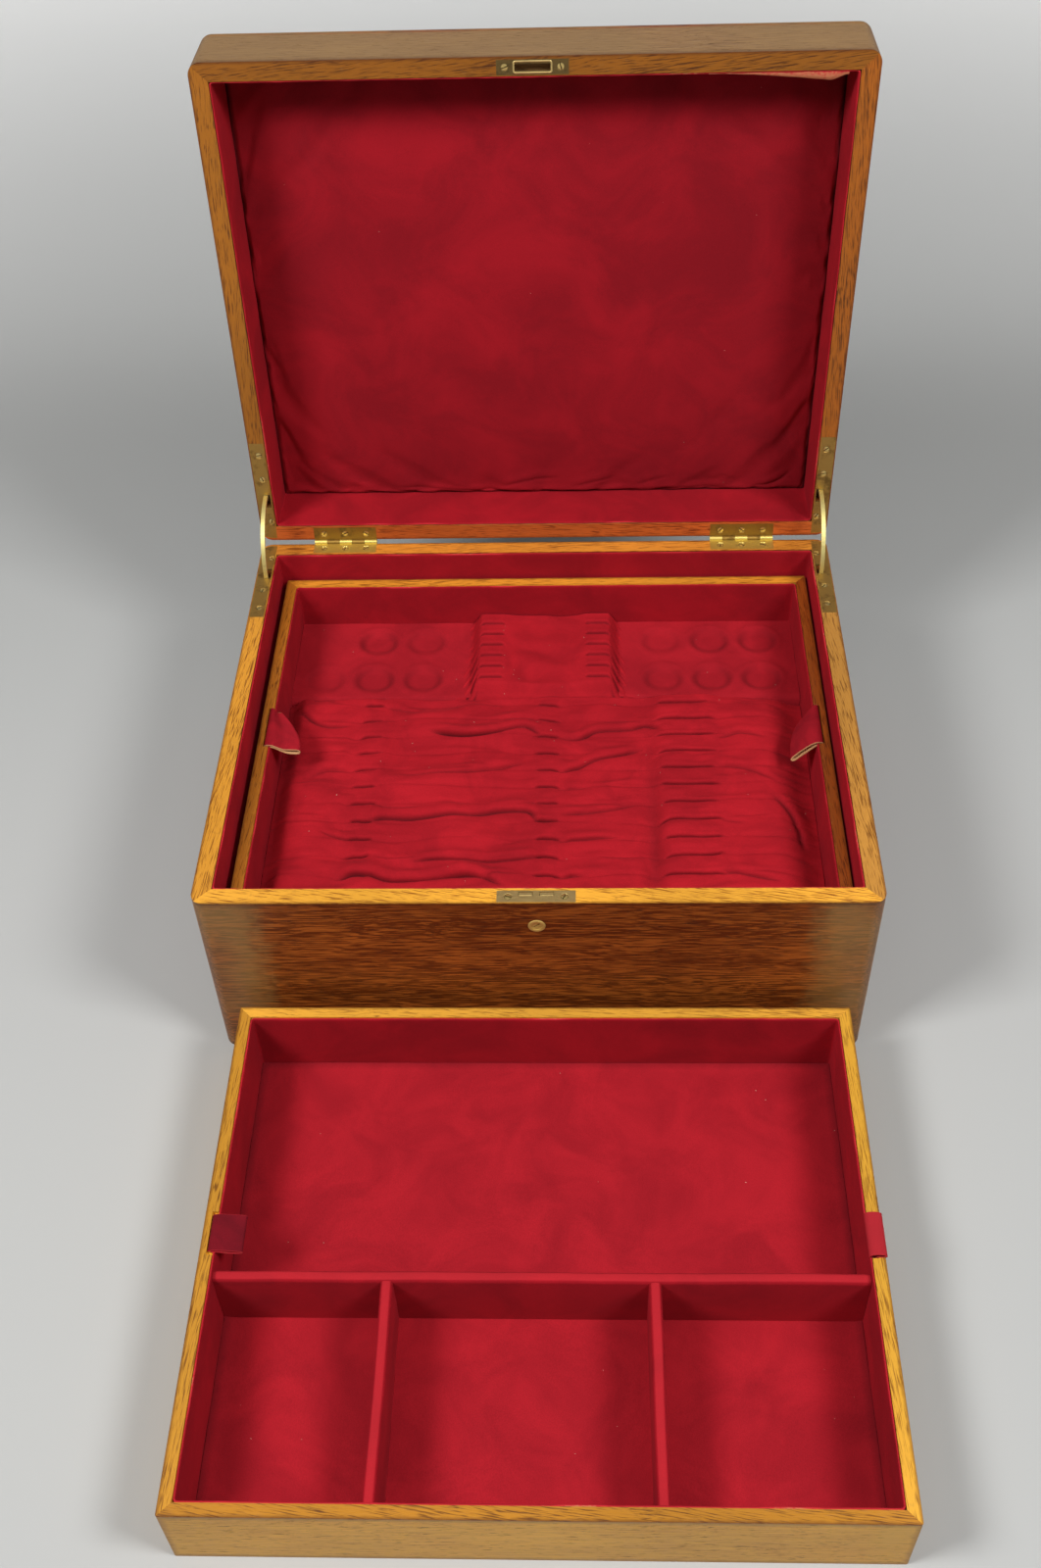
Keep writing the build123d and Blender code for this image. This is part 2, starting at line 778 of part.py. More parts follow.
def tab_loop(tray, thickness):
    """Section of a pull tab's loop: two rounds and the straight runs between them."""
    end = tab_reach[tray] - tab_end_radius
    with BuildSketch() as loop:
        if thickness:
            start = tab_root_radius + tab_end_radius
            with Locations((start, -tab_sag * start / end)):
                Circle(tab_root_radius + soft_gap - thickness)
        else:
            Circle(tab_root_radius)
        with Locations((end, -tab_sag)):
            Circle(tab_end_radius - thickness)
        make_hull()
    return loop.sketch


def pull_tab(tray, side):
    """A ribbon folded into a flat loop, its root rolled in the rebate."""
    x, y, z = tray_places[tray]
    root_x = hands[side] * (tray_inner_width / 2 + tab_rebate_width / 2)
    root = Vector(x + root_x, y, z + tray_height - tab_axis_drop)
    tab_plane = Plane(origin=root, x_dir=(-hands[side], 0, 0), z_dir=(0, hands[side], 0))
    with BuildPart() as tab:
        with BuildSketch(tab_plane):
            add(tab_loop(tray, 0))
            add(tab_loop(tray, tab_ribbon), mode=Mode.SUBTRACT)
        extrude(amount=tab_width[tray] / 2, both=True)
    return tab.part


for tray in tray_places:
    for side in sides:
        save(tray_board(tray, side), f"{tray}_tray_{side}_board")
    with BuildPart() as tray_bottom:
        with BuildSketch(tray_plane(tray, 0)):
            Rectangle(
                tray_inner_width + 2 * tray_base_rebate, tray_inner_depth + 2 * tray_base_rebate
            )
        extrude(amount=tray_base)
    save(tray_bottom.part, f"{tray}_tray_bottom")
    with BuildPart() as tray_lining:
        add(
            wall_lining(
                tray_plane(tray, 0),
                (0, 0),
                tray_inner_width,
                tray_inner_depth,
                tray_base,
                tray_height - lining_edge_drop,
            )
        )
        with BuildSketch(tray_plane(tray, tray_height)):
            for side in hands:
                add(tab_rebate(tray, side))
        extrude(amount=-tab_rebate_depth - soft_gap, mode=Mode.SUBTRACT)
    save(tray_lining.part, f"{tray}_tray_wall_lining")
    for side in hands:
        save(pull_tab(tray, side), f"{tray}_tray_tab_{side}")


# Lower tray: slotted racks in a loose velvet cloth, and a pad with round recesses
def slotted_bar(x, width, back_slot, slots, pitch, end, low, high, slot_depth):
    """A bar with sloping sides, rounded along its top and slotted across it."""
    length = (slots - 1) * pitch + 2 * end
    middle = (x - lower_tray_x, back_slot - (slots - 1) * pitch / 2 - lower_tray_y)
    with BuildPart() as bar:
        with BuildSketch(tray_plane("lower", low)):
            with Locations(middle):
                Rectangle(width + 2 * rack_flare, length + 2 * rack_flare)
        with BuildSketch(tray_plane("lower", high)):
            with Locations(middle):
                Rectangle(width, length)
        loft(ruled=True)
        fillet(bar.faces().sort_by(Axis.Z)[-1].edges(), radius=rack_round)
        with BuildSketch(tray_plane("lower", high)):
            with Locations(middle):
                with GridLocations(1, pitch, 1, slots):
                    Rectangle(width + 4 * rack_flare, rack_slot_width)
        extrude(amount=-slot_depth, mode=Mode.SUBTRACT)
    return bar.part


# The teaspoon racks set how much of the tray the pad takes, and the long racks fill the rest
pad_top = tray_height - well_pad_drop
cloth_height = tray_height - cloth_drop
teaspoon_back_slot = lower_tray_y + lined_depth / 2 - teaspoon_back_gap - rack_flare - teaspoon_end
teaspoon_run = (teaspoon_slots - 1) * teaspoon_pitch + teaspoon_end + rack_flare
pad_front_y = teaspoon_back_slot - teaspoon_run - teaspoon_front_gap
cloth_back = pad_front_y - soft_gap
rack_back_slot = cloth_back - soft_gap - rack_flare - rack_end
rack_front_slot = lower_tray_y - lined_depth / 2 + rack_front_gap + rack_flare + rack_end
rack_pitch = (rack_back_slot - rack_front_slot) / (rack_slots - 1)
rack_x = {
    "left": lower_tray_x - lined_width / 2 + rack_wall_gap["left"] + rack_width["left"] / 2,
    "middle": lower_tray_x + rack_middle_shift,
    "right": lower_tray_x + lined_width / 2 - rack_wall_gap["right"] - rack_width["right"] / 2,
}
for place, x in rack_x.items():
    bar = slotted_bar(
        x,
        rack_width[place],
        rack_back_slot,
        rack_slots,
        rack_pitch,
        rack_end,
        tray_base,
        tray_height - rack_top_drop[place],
        rack_slot_depth,
    )
    save(bar, f"rack_{place}")
teaspoon_parts = [
    slotted_bar(
        x,
        teaspoon_width,
        teaspoon_back_slot,
        teaspoon_slots,
        teaspoon_pitch,
        teaspoon_end,
        pad_top,
        pad_top + teaspoon_height,
        teaspoon_slot_depth,
    )
    for x in (lower_tray_x - teaspoon_spread / 2, lower_tray_x + teaspoon_spread / 2)
]
with BuildPart() as teaspoon_racks:
    add(teaspoon_parts)
save(teaspoon_racks.part, "teaspoon_racks")

pad_front = pad_front_y - lower_tray_y
pad_back = lined_depth / 2 - soft_gap
recess_column = lined_width / 2 - recess_side_gap - recess_pitch_x - recess_radius
with BuildPart() as well_pad:
    with BuildSketch(tray_plane("lower", tray_base)):
        with Locations((0, (pad_front + pad_back) / 2)):
            Rectangle(lined_width - 2 * soft_gap, pad_back - pad_front)
    extrude(amount=pad_top - tray_base)
    with BuildSketch(tray_plane("lower", pad_top)):
        for hand in hands.values():
            middle = (hand * recess_column - lower_tray_x, (pad_front + pad_back) / 2)
            with Locations(middle):
                with GridLocations(recess_pitch_x, recess_pitch_y, 3, 2):
                    Circle(recess_radius)
    extrude(amount=-recess_depth, mode=Mode.SUBTRACT)
    pad_face = well_pad.faces().filter_by(GeomType.PLANE).filter_by(Axis.Z).sort_by(Axis.Z)[-1]
    chamfer(pad_face.edges().filter_by(GeomType.CIRCLE), length=recess_bevel)
save(well_pad.part, "lower_tray_floor_pad")


def cloth_line(x, height, broad):
    """One section of the cloth: pleats at the slots, or broad loose folds between racks."""
    front = -lined_depth / 2 + soft_gap
    back = cloth_back - lower_tray_y
    steps = 2 * rack_slots
    points = []
    for i in range(steps + 1):
        y = front + (back - front) * i / steps
        if broad:
            rise = fold_height * sin(2 * pi * fold_count * i / steps + x / fold_skew)
        else:
            rise = pleat_height * cos(2 * pi * (y + lower_tray_y - rack_back_slot) / rack_pitch + pi)
        points.append((y, height + rise))
    return points


def cloth_section(x, broad):
    """Closed section of the cloth, square to X."""
    top = cloth_line(x, cloth_height, broad)
    under = [(y, z - cloth_thickness) for y, z in top]
    with BuildSketch() as section:
        with BuildLine():
            upper = Spline(*top)
            lower = Spline(*under)
            Line(upper @ 0, lower @ 0)
            Line(upper @ 1, lower @ 1)
        make_face()
    return section.sketch


# The cloth hangs from bar to bar, pinched at the slots and loose between them
rack_edges = [-lined_width / 2 + soft_gap]
for place, x in rack_x.items():
    foot = rack_width[place] / 2 + rack_flare + soft_gap
    rack_edges += [x - lower_tray_x - foot, x - lower_tray_x + foot]
rack_edges.append(lined_width / 2 - soft_gap)
panels = list(zip(rack_edges[0::2], rack_edges[1::2]))
with BuildPart() as rack_cloth:
    for start, end in panels:
        for x, broad in ((start, False), ((start + end) / 2, True), (end, False)):
            station = Plane(
                origin=(x + lower_tray_x, lower_tray_y, lower_tray_z),
                x_dir=(0, 1, 0),
                z_dir=(1, 0, 0),
            )
            with BuildSketch(station):
                add(cloth_section(x, broad))
        loft(ruled=True)
save(rack_cloth.part, "rack_cloth")

# Upper tray: a floor lining and velvet-covered dividers with rounded tops
with BuildPart() as upper_floor:
    with BuildSketch(tray_plane("upper", tray_base)):
        Rectangle(lined_width, lined_depth)
    extrude(amount=lining)
save(upper_floor.part, "upper_tray_floor_lining")

divider_low = tray_base + lining
divider_high = tray_height - divider_drop


def divider(low_x, high_x, low_y, high_y):
    """A divider standing on the tray's floor, its top edges rounded."""
    with BuildPart() as board:
        with BuildSketch(tray_plane("upper", divider_low)):
            with Locations(((low_x + high_x) / 2, (low_y + high_y) / 2)):
                Rectangle(high_x - low_x, high_y - low_y)
        extrude(amount=divider_high - divider_low)
        long_way = Axis.X if high_x - low_x > high_y - low_y else Axis.Y
        top_edges = board.faces().sort_by(Axis.Z)[-1].edges().filter_by(long_way)
        fillet(top_edges, radius=divider_round)
    return board.part


end_x, end_y = lined_width / 2 - soft_gap, lined_depth / 2 - soft_gap
long_front = front_compartment_depth - lined_depth / 2
save(divider(-end_x, end_x, long_front, long_front + divider_thickness), "upper_tray_long_divider")
cross_lefts = (
    left_compartment_width - lined_width / 2,
    lined_width / 2 - right_compartment_width - divider_thickness,
)
with BuildPart() as cross_dividers:
    add([divider(x, x + divider_thickness, -end_y, long_front - soft_gap) for x in cross_lefts])
save(cross_dividers.part, "upper_tray_cross_dividers")
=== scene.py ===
# %% [markdown]
# An oak chest for table silver, standing open with its upper tray lifted out. The frame
# holds every rigid piece at its real size and place. This file gives those pieces their
# finish and makes the soft ones: velvet linings, a padded lid, slotted racks under one loose
# cloth, and ribbon pull tabs. All lengths here are in metres.

# %% Load the frame
import json
import math
import random

import bmesh
import bpy
import numpy as np
from mathutils import Matrix, Vector, noise

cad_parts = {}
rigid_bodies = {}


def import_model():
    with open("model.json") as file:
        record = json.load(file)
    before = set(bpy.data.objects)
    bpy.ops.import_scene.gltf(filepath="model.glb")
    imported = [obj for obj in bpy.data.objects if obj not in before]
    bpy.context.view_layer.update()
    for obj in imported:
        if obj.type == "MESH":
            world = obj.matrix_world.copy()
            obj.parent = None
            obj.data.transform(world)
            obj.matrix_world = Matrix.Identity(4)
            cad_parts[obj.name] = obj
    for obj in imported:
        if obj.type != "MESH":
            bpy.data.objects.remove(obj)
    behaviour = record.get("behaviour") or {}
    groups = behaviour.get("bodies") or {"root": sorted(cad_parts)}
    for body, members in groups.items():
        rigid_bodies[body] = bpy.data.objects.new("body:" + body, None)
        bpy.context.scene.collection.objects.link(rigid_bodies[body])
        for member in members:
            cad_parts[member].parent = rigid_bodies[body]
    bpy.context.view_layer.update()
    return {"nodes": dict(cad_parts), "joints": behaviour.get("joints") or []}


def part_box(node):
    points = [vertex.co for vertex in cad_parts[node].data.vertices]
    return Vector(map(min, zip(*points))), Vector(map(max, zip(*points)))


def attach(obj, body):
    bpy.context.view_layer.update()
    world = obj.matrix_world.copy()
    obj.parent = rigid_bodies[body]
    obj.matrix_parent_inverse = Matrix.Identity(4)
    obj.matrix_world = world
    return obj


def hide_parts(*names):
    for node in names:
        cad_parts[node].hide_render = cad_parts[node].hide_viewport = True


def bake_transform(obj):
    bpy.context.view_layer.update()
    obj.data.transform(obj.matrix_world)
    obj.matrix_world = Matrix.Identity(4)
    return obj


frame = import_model()
nodes = frame["nodes"]
mm = 0.001

# %% [markdown]
# The camera stands in front of the chest and looks down into it. Its place and turn were
# worked out from the chest's own edges, which are straight and square to each other.

# %% Camera
camera_place = Vector((0.0278, -0.8868, 0.995))
camera_pitch, camera_yaw, camera_roll = 46.03, -2.858, -2.315
camera_lens = 38.13

pitch, yaw, roll = (math.radians(a) for a in (camera_pitch, camera_yaw, camera_roll))
look = Vector((math.sin(yaw) * math.cos(pitch), math.cos(yaw) * math.cos(pitch), -math.sin(pitch)))
level = Vector((math.cos(yaw), -math.sin(yaw), 0))
above = level.cross(look)
camera_x = level * math.cos(roll) + above * math.sin(roll)
camera_y = above * math.cos(roll) - level * math.sin(roll)
turn = Matrix((camera_x, camera_y, -look)).transposed()
camera = bpy.data.objects.new("camera", bpy.data.cameras.new("camera"))
bpy.context.scene.collection.objects.link(camera)
camera.matrix_world = Matrix.Translation(camera_place) @ turn.to_4x4()
camera.data.sensor_width = 36
camera.data.lens = camera_lens
camera.data.clip_start = 0.05
bpy.context.scene.camera = camera
bpy.context.scene.view_settings.view_transform = "Standard"
print("camera at", tuple(round(v, 3) for v in camera.location))

# %% [markdown]
# Materials and shader groups are small machines of nodes. These helpers keep their making
# short: one adds a node and sets or links its inputs, and others stand for one node each.

# %% Helpers for objects and nodes
def add_object(name, mesh):
    """Link a new object for a mesh, standing at the origin."""
    made = bpy.data.objects.new(name, mesh)
    bpy.context.scene.collection.objects.link(made)
    return made


def mesh_from(name, points, faces):
    """A mesh object from points and faces."""
    mesh = bpy.data.meshes.new(name)
    mesh.from_pydata(points, [], faces)
    mesh.update()
    return add_object(name, mesh)


def feed(tree, made, values):
    """Set a node's inputs, given by name or number, or link them where a socket is given."""
    for key, value in values.items():
        if isinstance(value, bpy.types.NodeSocket):
            tree.links.new(value, made.inputs[key])
        else:
            made.inputs[key].default_value = value


def node_in(tree, kind, sockets=None, **options):
    """Add a node, set its options, then feed its inputs."""
    made = tree.nodes.new(kind)
    for key, value in options.items():
        setattr(made, key, value)
    feed(tree, made, sockets or {})
    return made


def new_tree(kind, name, inputs, outputs):
    """A node tree with (name, type, default) inputs and (name, type) outputs, and its two ends."""
    tree = bpy.data.node_groups.new(name, kind)
    for label, holds, value in inputs:
        socket = tree.interface.new_socket(label, in_out="INPUT", socket_type="NodeSocket" + holds)
        if value is not None:
            socket.default_value = value
    for label, holds in outputs:
        tree.interface.new_socket(label, in_out="OUTPUT", socket_type="NodeSocket" + holds)
    return tree, tree.nodes.new("NodeGroupInput"), tree.nodes.new("NodeGroupOutput")


def calc(tree, operation, *values, clamp=False):
    """One Math node; each value is a socket or a number."""
    made = node_in(tree, "ShaderNodeMath", dict(enumerate(values)), operation=operation, use_clamp=clamp)
    return made.outputs[0]


def vector_calc(tree, operation, *values):
    """One Vector Math node; each value is a socket or three numbers."""
    return node_in(tree, "ShaderNodeVectorMath", dict(enumerate(values)), operation=operation).outputs[0]


def vector_of(tree, **parts):
    """A vector from its parts X, Y and Z. A part left out is 0."""
    return node_in(tree, "ShaderNodeCombineXYZ", parts).outputs[0]


def around_zero(tree, value, amount):
    """A value from 0 to 1 brought round 0 and multiplied."""
    return calc(tree, "MULTIPLY", calc(tree, "SUBTRACT", value, 0.5), amount)


def window(tree, value, low, high):
    """0 below low, 1 above high, and smooth between; each bound is a socket or a number."""
    sockets = {"Value": value, "From Min": low, "From Max": high}
    return node_in(tree, "ShaderNodeMapRange", sockets, interpolation_type="SMOOTHSTEP").outputs["Result"]


def noise_value(tree, vector, detail=2.0, scale=1.0, roughness=0.5, distortion=0.0):
    """A noise texture's value at some coordinates."""
    sockets = {"Vector": vector, "Scale": scale, "Detail": detail, "Roughness": roughness,
               "Distortion": distortion}
    return node_in(tree, "ShaderNodeTexNoise", sockets).outputs["Fac"]


def ramp(tree, factor, stops):
    """The colour at a factor between two (position, colour) stops."""
    made = node_in(tree, "ShaderNodeValToRGB", {"Fac": factor})
    for element, (position, colour) in zip(made.color_ramp.elements, stops):
        element.position = position
        element.color = (*colour[:3], 1)
    return made.outputs["Color"]


def mix_colour(tree, a, b, factor, blend="MIX"):
    """Mix two colours; each argument is a socket or a value."""
    sockets = {0: factor, 6: a, 7: b}
    return node_in(tree, "ShaderNodeMix", sockets, data_type="RGBA", blend_type=blend).outputs[2]


def object_place(tree):
    """The coordinates of a point of the object."""
    return node_in(tree, "ShaderNodeTexCoord").outputs["Object"]


def point_value(tree, label):
    """A point attribute's value, 0 where a mesh has none."""
    return node_in(tree, "ShaderNodeAttribute", attribute_name=label).outputs["Fac"]


def bumped(tree, height, strength, distance):
    """The normal of a surface bumped by a height."""
    sockets = {"Height": height, "Strength": strength, "Distance": distance}
    return node_in(tree, "ShaderNodeBump", sockets).outputs["Normal"]


def use_group(tree, group, sockets):
    """Place a shader group, feed it, and return its outputs."""
    return node_in(tree, "ShaderNodeGroup", sockets, node_tree=group).outputs


def new_material(name):
    """A material with a Principled shader; returns it, its tree and the shader."""
    material = bpy.data.materials.new(name)
    material.use_nodes = True
    return material, material.node_tree, material.node_tree.nodes["Principled BSDF"]


print("helpers ready")

# %% [markdown]
# The floor is plain and pale, curved up behind the chest so that there is no horizon. It is
# paler far from the chest, where less light falls, and glows there for the camera alone, so
# that the background stays pale from every side. Two fairly small lamps stand high in front,
# left and right: the lid's rim then throws a dark band on the padding and the side walls
# shade the trays, as they do in a real room with two windows. A weak large one fills in.

# %% Floor and lamps
floor_half, sweep_start, sweep_radius, sweep_steps = 6.0, 1.6, 1.0, 12
profile = [(-floor_half, 0.0), (sweep_start, 0.0)]
for step in range(1, sweep_steps + 1):
    angle = math.pi / 2 * step / sweep_steps
    profile.append(
        (sweep_start + sweep_radius * math.sin(angle), sweep_radius * (1 - math.cos(angle)))
    )
profile.append((sweep_start + sweep_radius, floor_half))
floor_points = [(x, y, z) for y, z in profile for x in (-floor_half, floor_half)]
floor_faces = [(2 * i, 2 * i + 1, 2 * i + 3, 2 * i + 2) for i in range(len(profile) - 1)]
floor = mesh_from("floor", floor_points, floor_faces)
for face in floor.data.polygons:
    face.use_smooth = True
floor_paint, floor_tree, floor_shader = new_material("floor_paint")
from_chest = node_in(floor_tree, "ShaderNodeVectorMath", {0: object_place(floor_tree)}, operation="LENGTH")
pale_starts, pale_ends, glow_strength = 0.6, 2.6, 0.45
faraway = window(floor_tree, from_chest.outputs["Value"], pale_starts, pale_ends)
for_camera = node_in(floor_tree, "ShaderNodeLightPath").outputs["Is Camera Ray"]
glow = calc(floor_tree, "MULTIPLY", calc(floor_tree, "MULTIPLY", for_camera, faraway), glow_strength)
feed(floor_tree, floor_shader, {
    "Base Color": ramp(floor_tree, faraway, [(0, (0.47, 0.475, 0.465)), (1, (0.85, 0.85, 0.84))]),
    "Roughness": 0.85,
    "Emission Color": (1, 1, 0.985, 1),
    "Emission Strength": glow,
})
floor.data.materials.append(floor_paint)


def area_lamp(name, place, target, size, power):
    """A soft square lamp that points at a target."""
    lamp = bpy.data.objects.new(name, bpy.data.lights.new(name, "AREA"))
    lamp.data.energy = power
    lamp.data.size = size
    lamp.location = place
    lamp.rotation_euler = (Vector(target) - Vector(place)).to_track_quat("-Z", "Y").to_euler()
    bpy.context.scene.collection.objects.link(lamp)
    return lamp


area_lamp("left_lamp", (-1.15, -0.85, 1.75), (0, 0, 0.15), 0.6, 31)
area_lamp("right_lamp", (1.15, -0.85, 1.75), (0, 0, 0.15), 0.6, 28)
area_lamp("top_lamp", (0, -0.7, 2.2), (0, 0, 0.1), 1.4, 5)
world = bpy.data.worlds.new("world")
bpy.context.scene.world = world
world.use_nodes = True
sky = world.node_tree
sky_base, sky_shown = 0.1, 0.42
ray = node_in(sky, "ShaderNodeLightPath").outputs
shown = calc(sky, "MAXIMUM", ray["Is Camera Ray"], ray["Is Glossy Ray"])
feed(sky, sky.nodes["Background"],
     {"Color": (1, 1, 1, 1), "Strength": calc(sky, "MULTIPLY_ADD", shown, sky_shown, sky_base)})
print("floor of", len(floor_faces), "faces, three lamps")

# %% [markdown]
# The oak is ring-porous: each board shows long wavy strokes, darker where the stain sank
# into open pores. One group draws those strokes for a board whose grain runs along X, and
# every board gets it with its own stain, turned to the way that board was sawn.

# %% Shader group for oak grain
def tone(red, green, blue):
    """A colour written as 0 to 255, as the opaque linear colour that shaders use."""
    share = [value / 255 for value in (red, green, blue)]
    return (*(v / 12.92 if v < 0.04045 else ((v + 0.055) / 1.055) ** 2.4 for v in share), 1.0)


def build_oak_grain():
    """Oak strokes along X: colour, height for a bump, and a mask of the open pores."""
    tree, inlet, outlet = new_tree(
        "ShaderNodeTree", "oak_grain",
        [
            ("Position", "Vector", None),
            ("Board", "Float", 0.0),
            ("Light", "Color", tone(150, 82, 32)),
            ("Dark", "Color", tone(84, 36, 12)),
            ("Pore", "Color", tone(52, 24, 10)),
            ("Dark Share", "Float", 0.5),
            ("Contrast", "Float", 0.12),
            ("Stroke Length", "Float", 0.012),
            ("Stroke Width", "Float", 0.0015),
        ],
        [("Color", "Color"), ("Height", "Float"), ("Pores", "Float")],
    )
    given = inlet.outputs
    board = vector_of(tree, X=calc(tree, "MULTIPLY", given["Board"], 0.37),
                      Y=calc(tree, "MULTIPLY", given["Board"], 0.83))
    moved = vector_calc(tree, "ADD", given["Position"], board)
    wander = noise_value(tree, vector_calc(tree, "MULTIPLY", moved, (9, 30, 30)))
    sway = around_zero(tree, wander, 0.011)
    flow = vector_calc(tree, "ADD", moved, vector_of(tree, Y=sway, Z=sway))
    across = calc(tree, "DIVIDE", 1.0, given["Stroke Width"])
    per_stroke = vector_of(tree, X=calc(tree, "DIVIDE", 1.0, given["Stroke Length"]), Y=across, Z=across)
    strokes = noise_value(tree, vector_calc(tree, "MULTIPLY", flow, per_stroke), roughness=0.55)
    bands = noise_value(tree, vector_calc(tree, "MULTIPLY", flow, (7, 70, 70)))
    clouds = noise_value(tree, vector_calc(tree, "MULTIPLY", moved, (5, 11, 11)))
    fine = noise_value(tree, vector_calc(tree, "MULTIPLY", flow, (130, 1500, 1500)))
    drawn = calc(tree, "ADD", strokes, around_zero(tree, bands, 0.24))
    low = calc(tree, "SUBTRACT", given["Dark Share"], given["Contrast"])
    high = calc(tree, "ADD", given["Dark Share"], given["Contrast"])
    figure = window(tree, drawn, low, high)
    pores = calc(tree, "MULTIPLY", window(tree, fine, 0.60, 0.68), calc(tree, "SUBTRACT", 1.15, figure))
    colour = mix_colour(tree, given["Dark"], given["Light"], figure)
    colour = mix_colour(tree, colour, given["Pore"], calc(tree, "MULTIPLY", pores, 0.7, clamp=True))
    shade = ramp(tree, clouds, [(0.3, (0.80, 0.79, 0.78)), (0.7, (1.10, 1.08, 1.06))])
    feed(tree, outlet, {
        "Color": mix_colour(tree, colour, shade, 1.0, "MULTIPLY"),
        "Height": calc(tree, "SUBTRACT", calc(tree, "MULTIPLY", figure, 0.5), pores),
        "Pores": pores,
    })
    return tree


oak_grain = build_oak_grain()
print("oak_grain has", len(oak_grain.nodes), "nodes")

# %% [markdown]
# Handling wears and dirties a box along its edges. A second group measures how far a point
# is from the nearest edge of a block of given size, so that any board can use it.

# %% Shader group for worn edges
def build_near_edges():
    """1 on the edges of a block and 0 a given reach away from them, broken up by noise."""
    tree, inlet, outlet = new_tree(
        "ShaderNodeTree", "near_edges",
        [
            ("Position", "Vector", None),
            ("Centre", "Vector", (0, 0, 0)),
            ("Half Size", "Vector", (0.1, 0.1, 0.1)),
            ("Reach", "Vector", (0.004, 0.004, 0.004)),
            ("Raggedness", "Float", 0.6),
        ],
        [("Mask", "Float")],
    )
    given = inlet.outputs
    apart = vector_calc(tree, "SUBTRACT", given["Position"], given["Centre"])
    depth = vector_calc(tree, "SUBTRACT", given["Half Size"], vector_calc(tree, "ABSOLUTE", apart))
    share = vector_calc(tree, "DIVIDE", depth, given["Reach"])
    x, y, z = node_in(tree, "ShaderNodeSeparateXYZ", {0: share}).outputs
    lesser = calc(tree, "MINIMUM", x, y)
    greater = calc(tree, "MAXIMUM", x, y)
    second = calc(tree, "MAXIMUM", lesser, calc(tree, "MINIMUM", greater, z))
    speckle = noise_value(tree, given["Position"], 3.0, scale=160)
    spread = around_zero(tree, speckle, given["Raggedness"])
    away = calc(tree, "DIVIDE", second, calc(tree, "ADD", spread, 1.0))
    feed(tree, outlet, {"Mask": calc(tree, "SUBTRACT", 1.0, away, clamp=True)})
    return tree


near_edges = build_near_edges()
print("near_edges has", len(near_edges.nodes), "nodes")

# %% [markdown]
# The boards' outside was stained red-brown and is paler and greyer towards the corners,
# while the rims were left golden. Both finishes live in one material per board, parted by
# the height of the rim. The lid's boards are measured as if the lid were shut, which takes
# one turn about the hinge line.

# %% Oak for each board
joint_of = {joint["name"]: joint for joint in frame["joints"]}
hinge = Vector(joint_of["lid_swing"]["pos_m"])
open_angle = -math.radians(joint_of["lid_swing"]["range_deg"][0])
wall_thickness, lid_height = 12.7 * mm, 57 * mm
chest_low, chest_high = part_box("chest_front_board")
rim_z = chest_high.z
chest_half_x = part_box("chest_right_board")[1].x
chest_half_y = -chest_low.y
lid_rim_z = 2 * hinge.z - rim_z
lid_top_z = lid_rim_z + lid_height


def turned(tree, vector, axis, angle, about=Vector((0, 0, 0))):
    """Coordinates turned about an axis through a point."""
    matrix = Matrix.Rotation(angle, 4, axis)
    angles = [angle if letter == axis else 0 for letter in "XYZ"]
    sockets = {"Vector": vector, "Rotation": angles, "Location": about - matrix @ about}
    return node_in(tree, "ShaderNodeMapping", sockets).outputs[0]


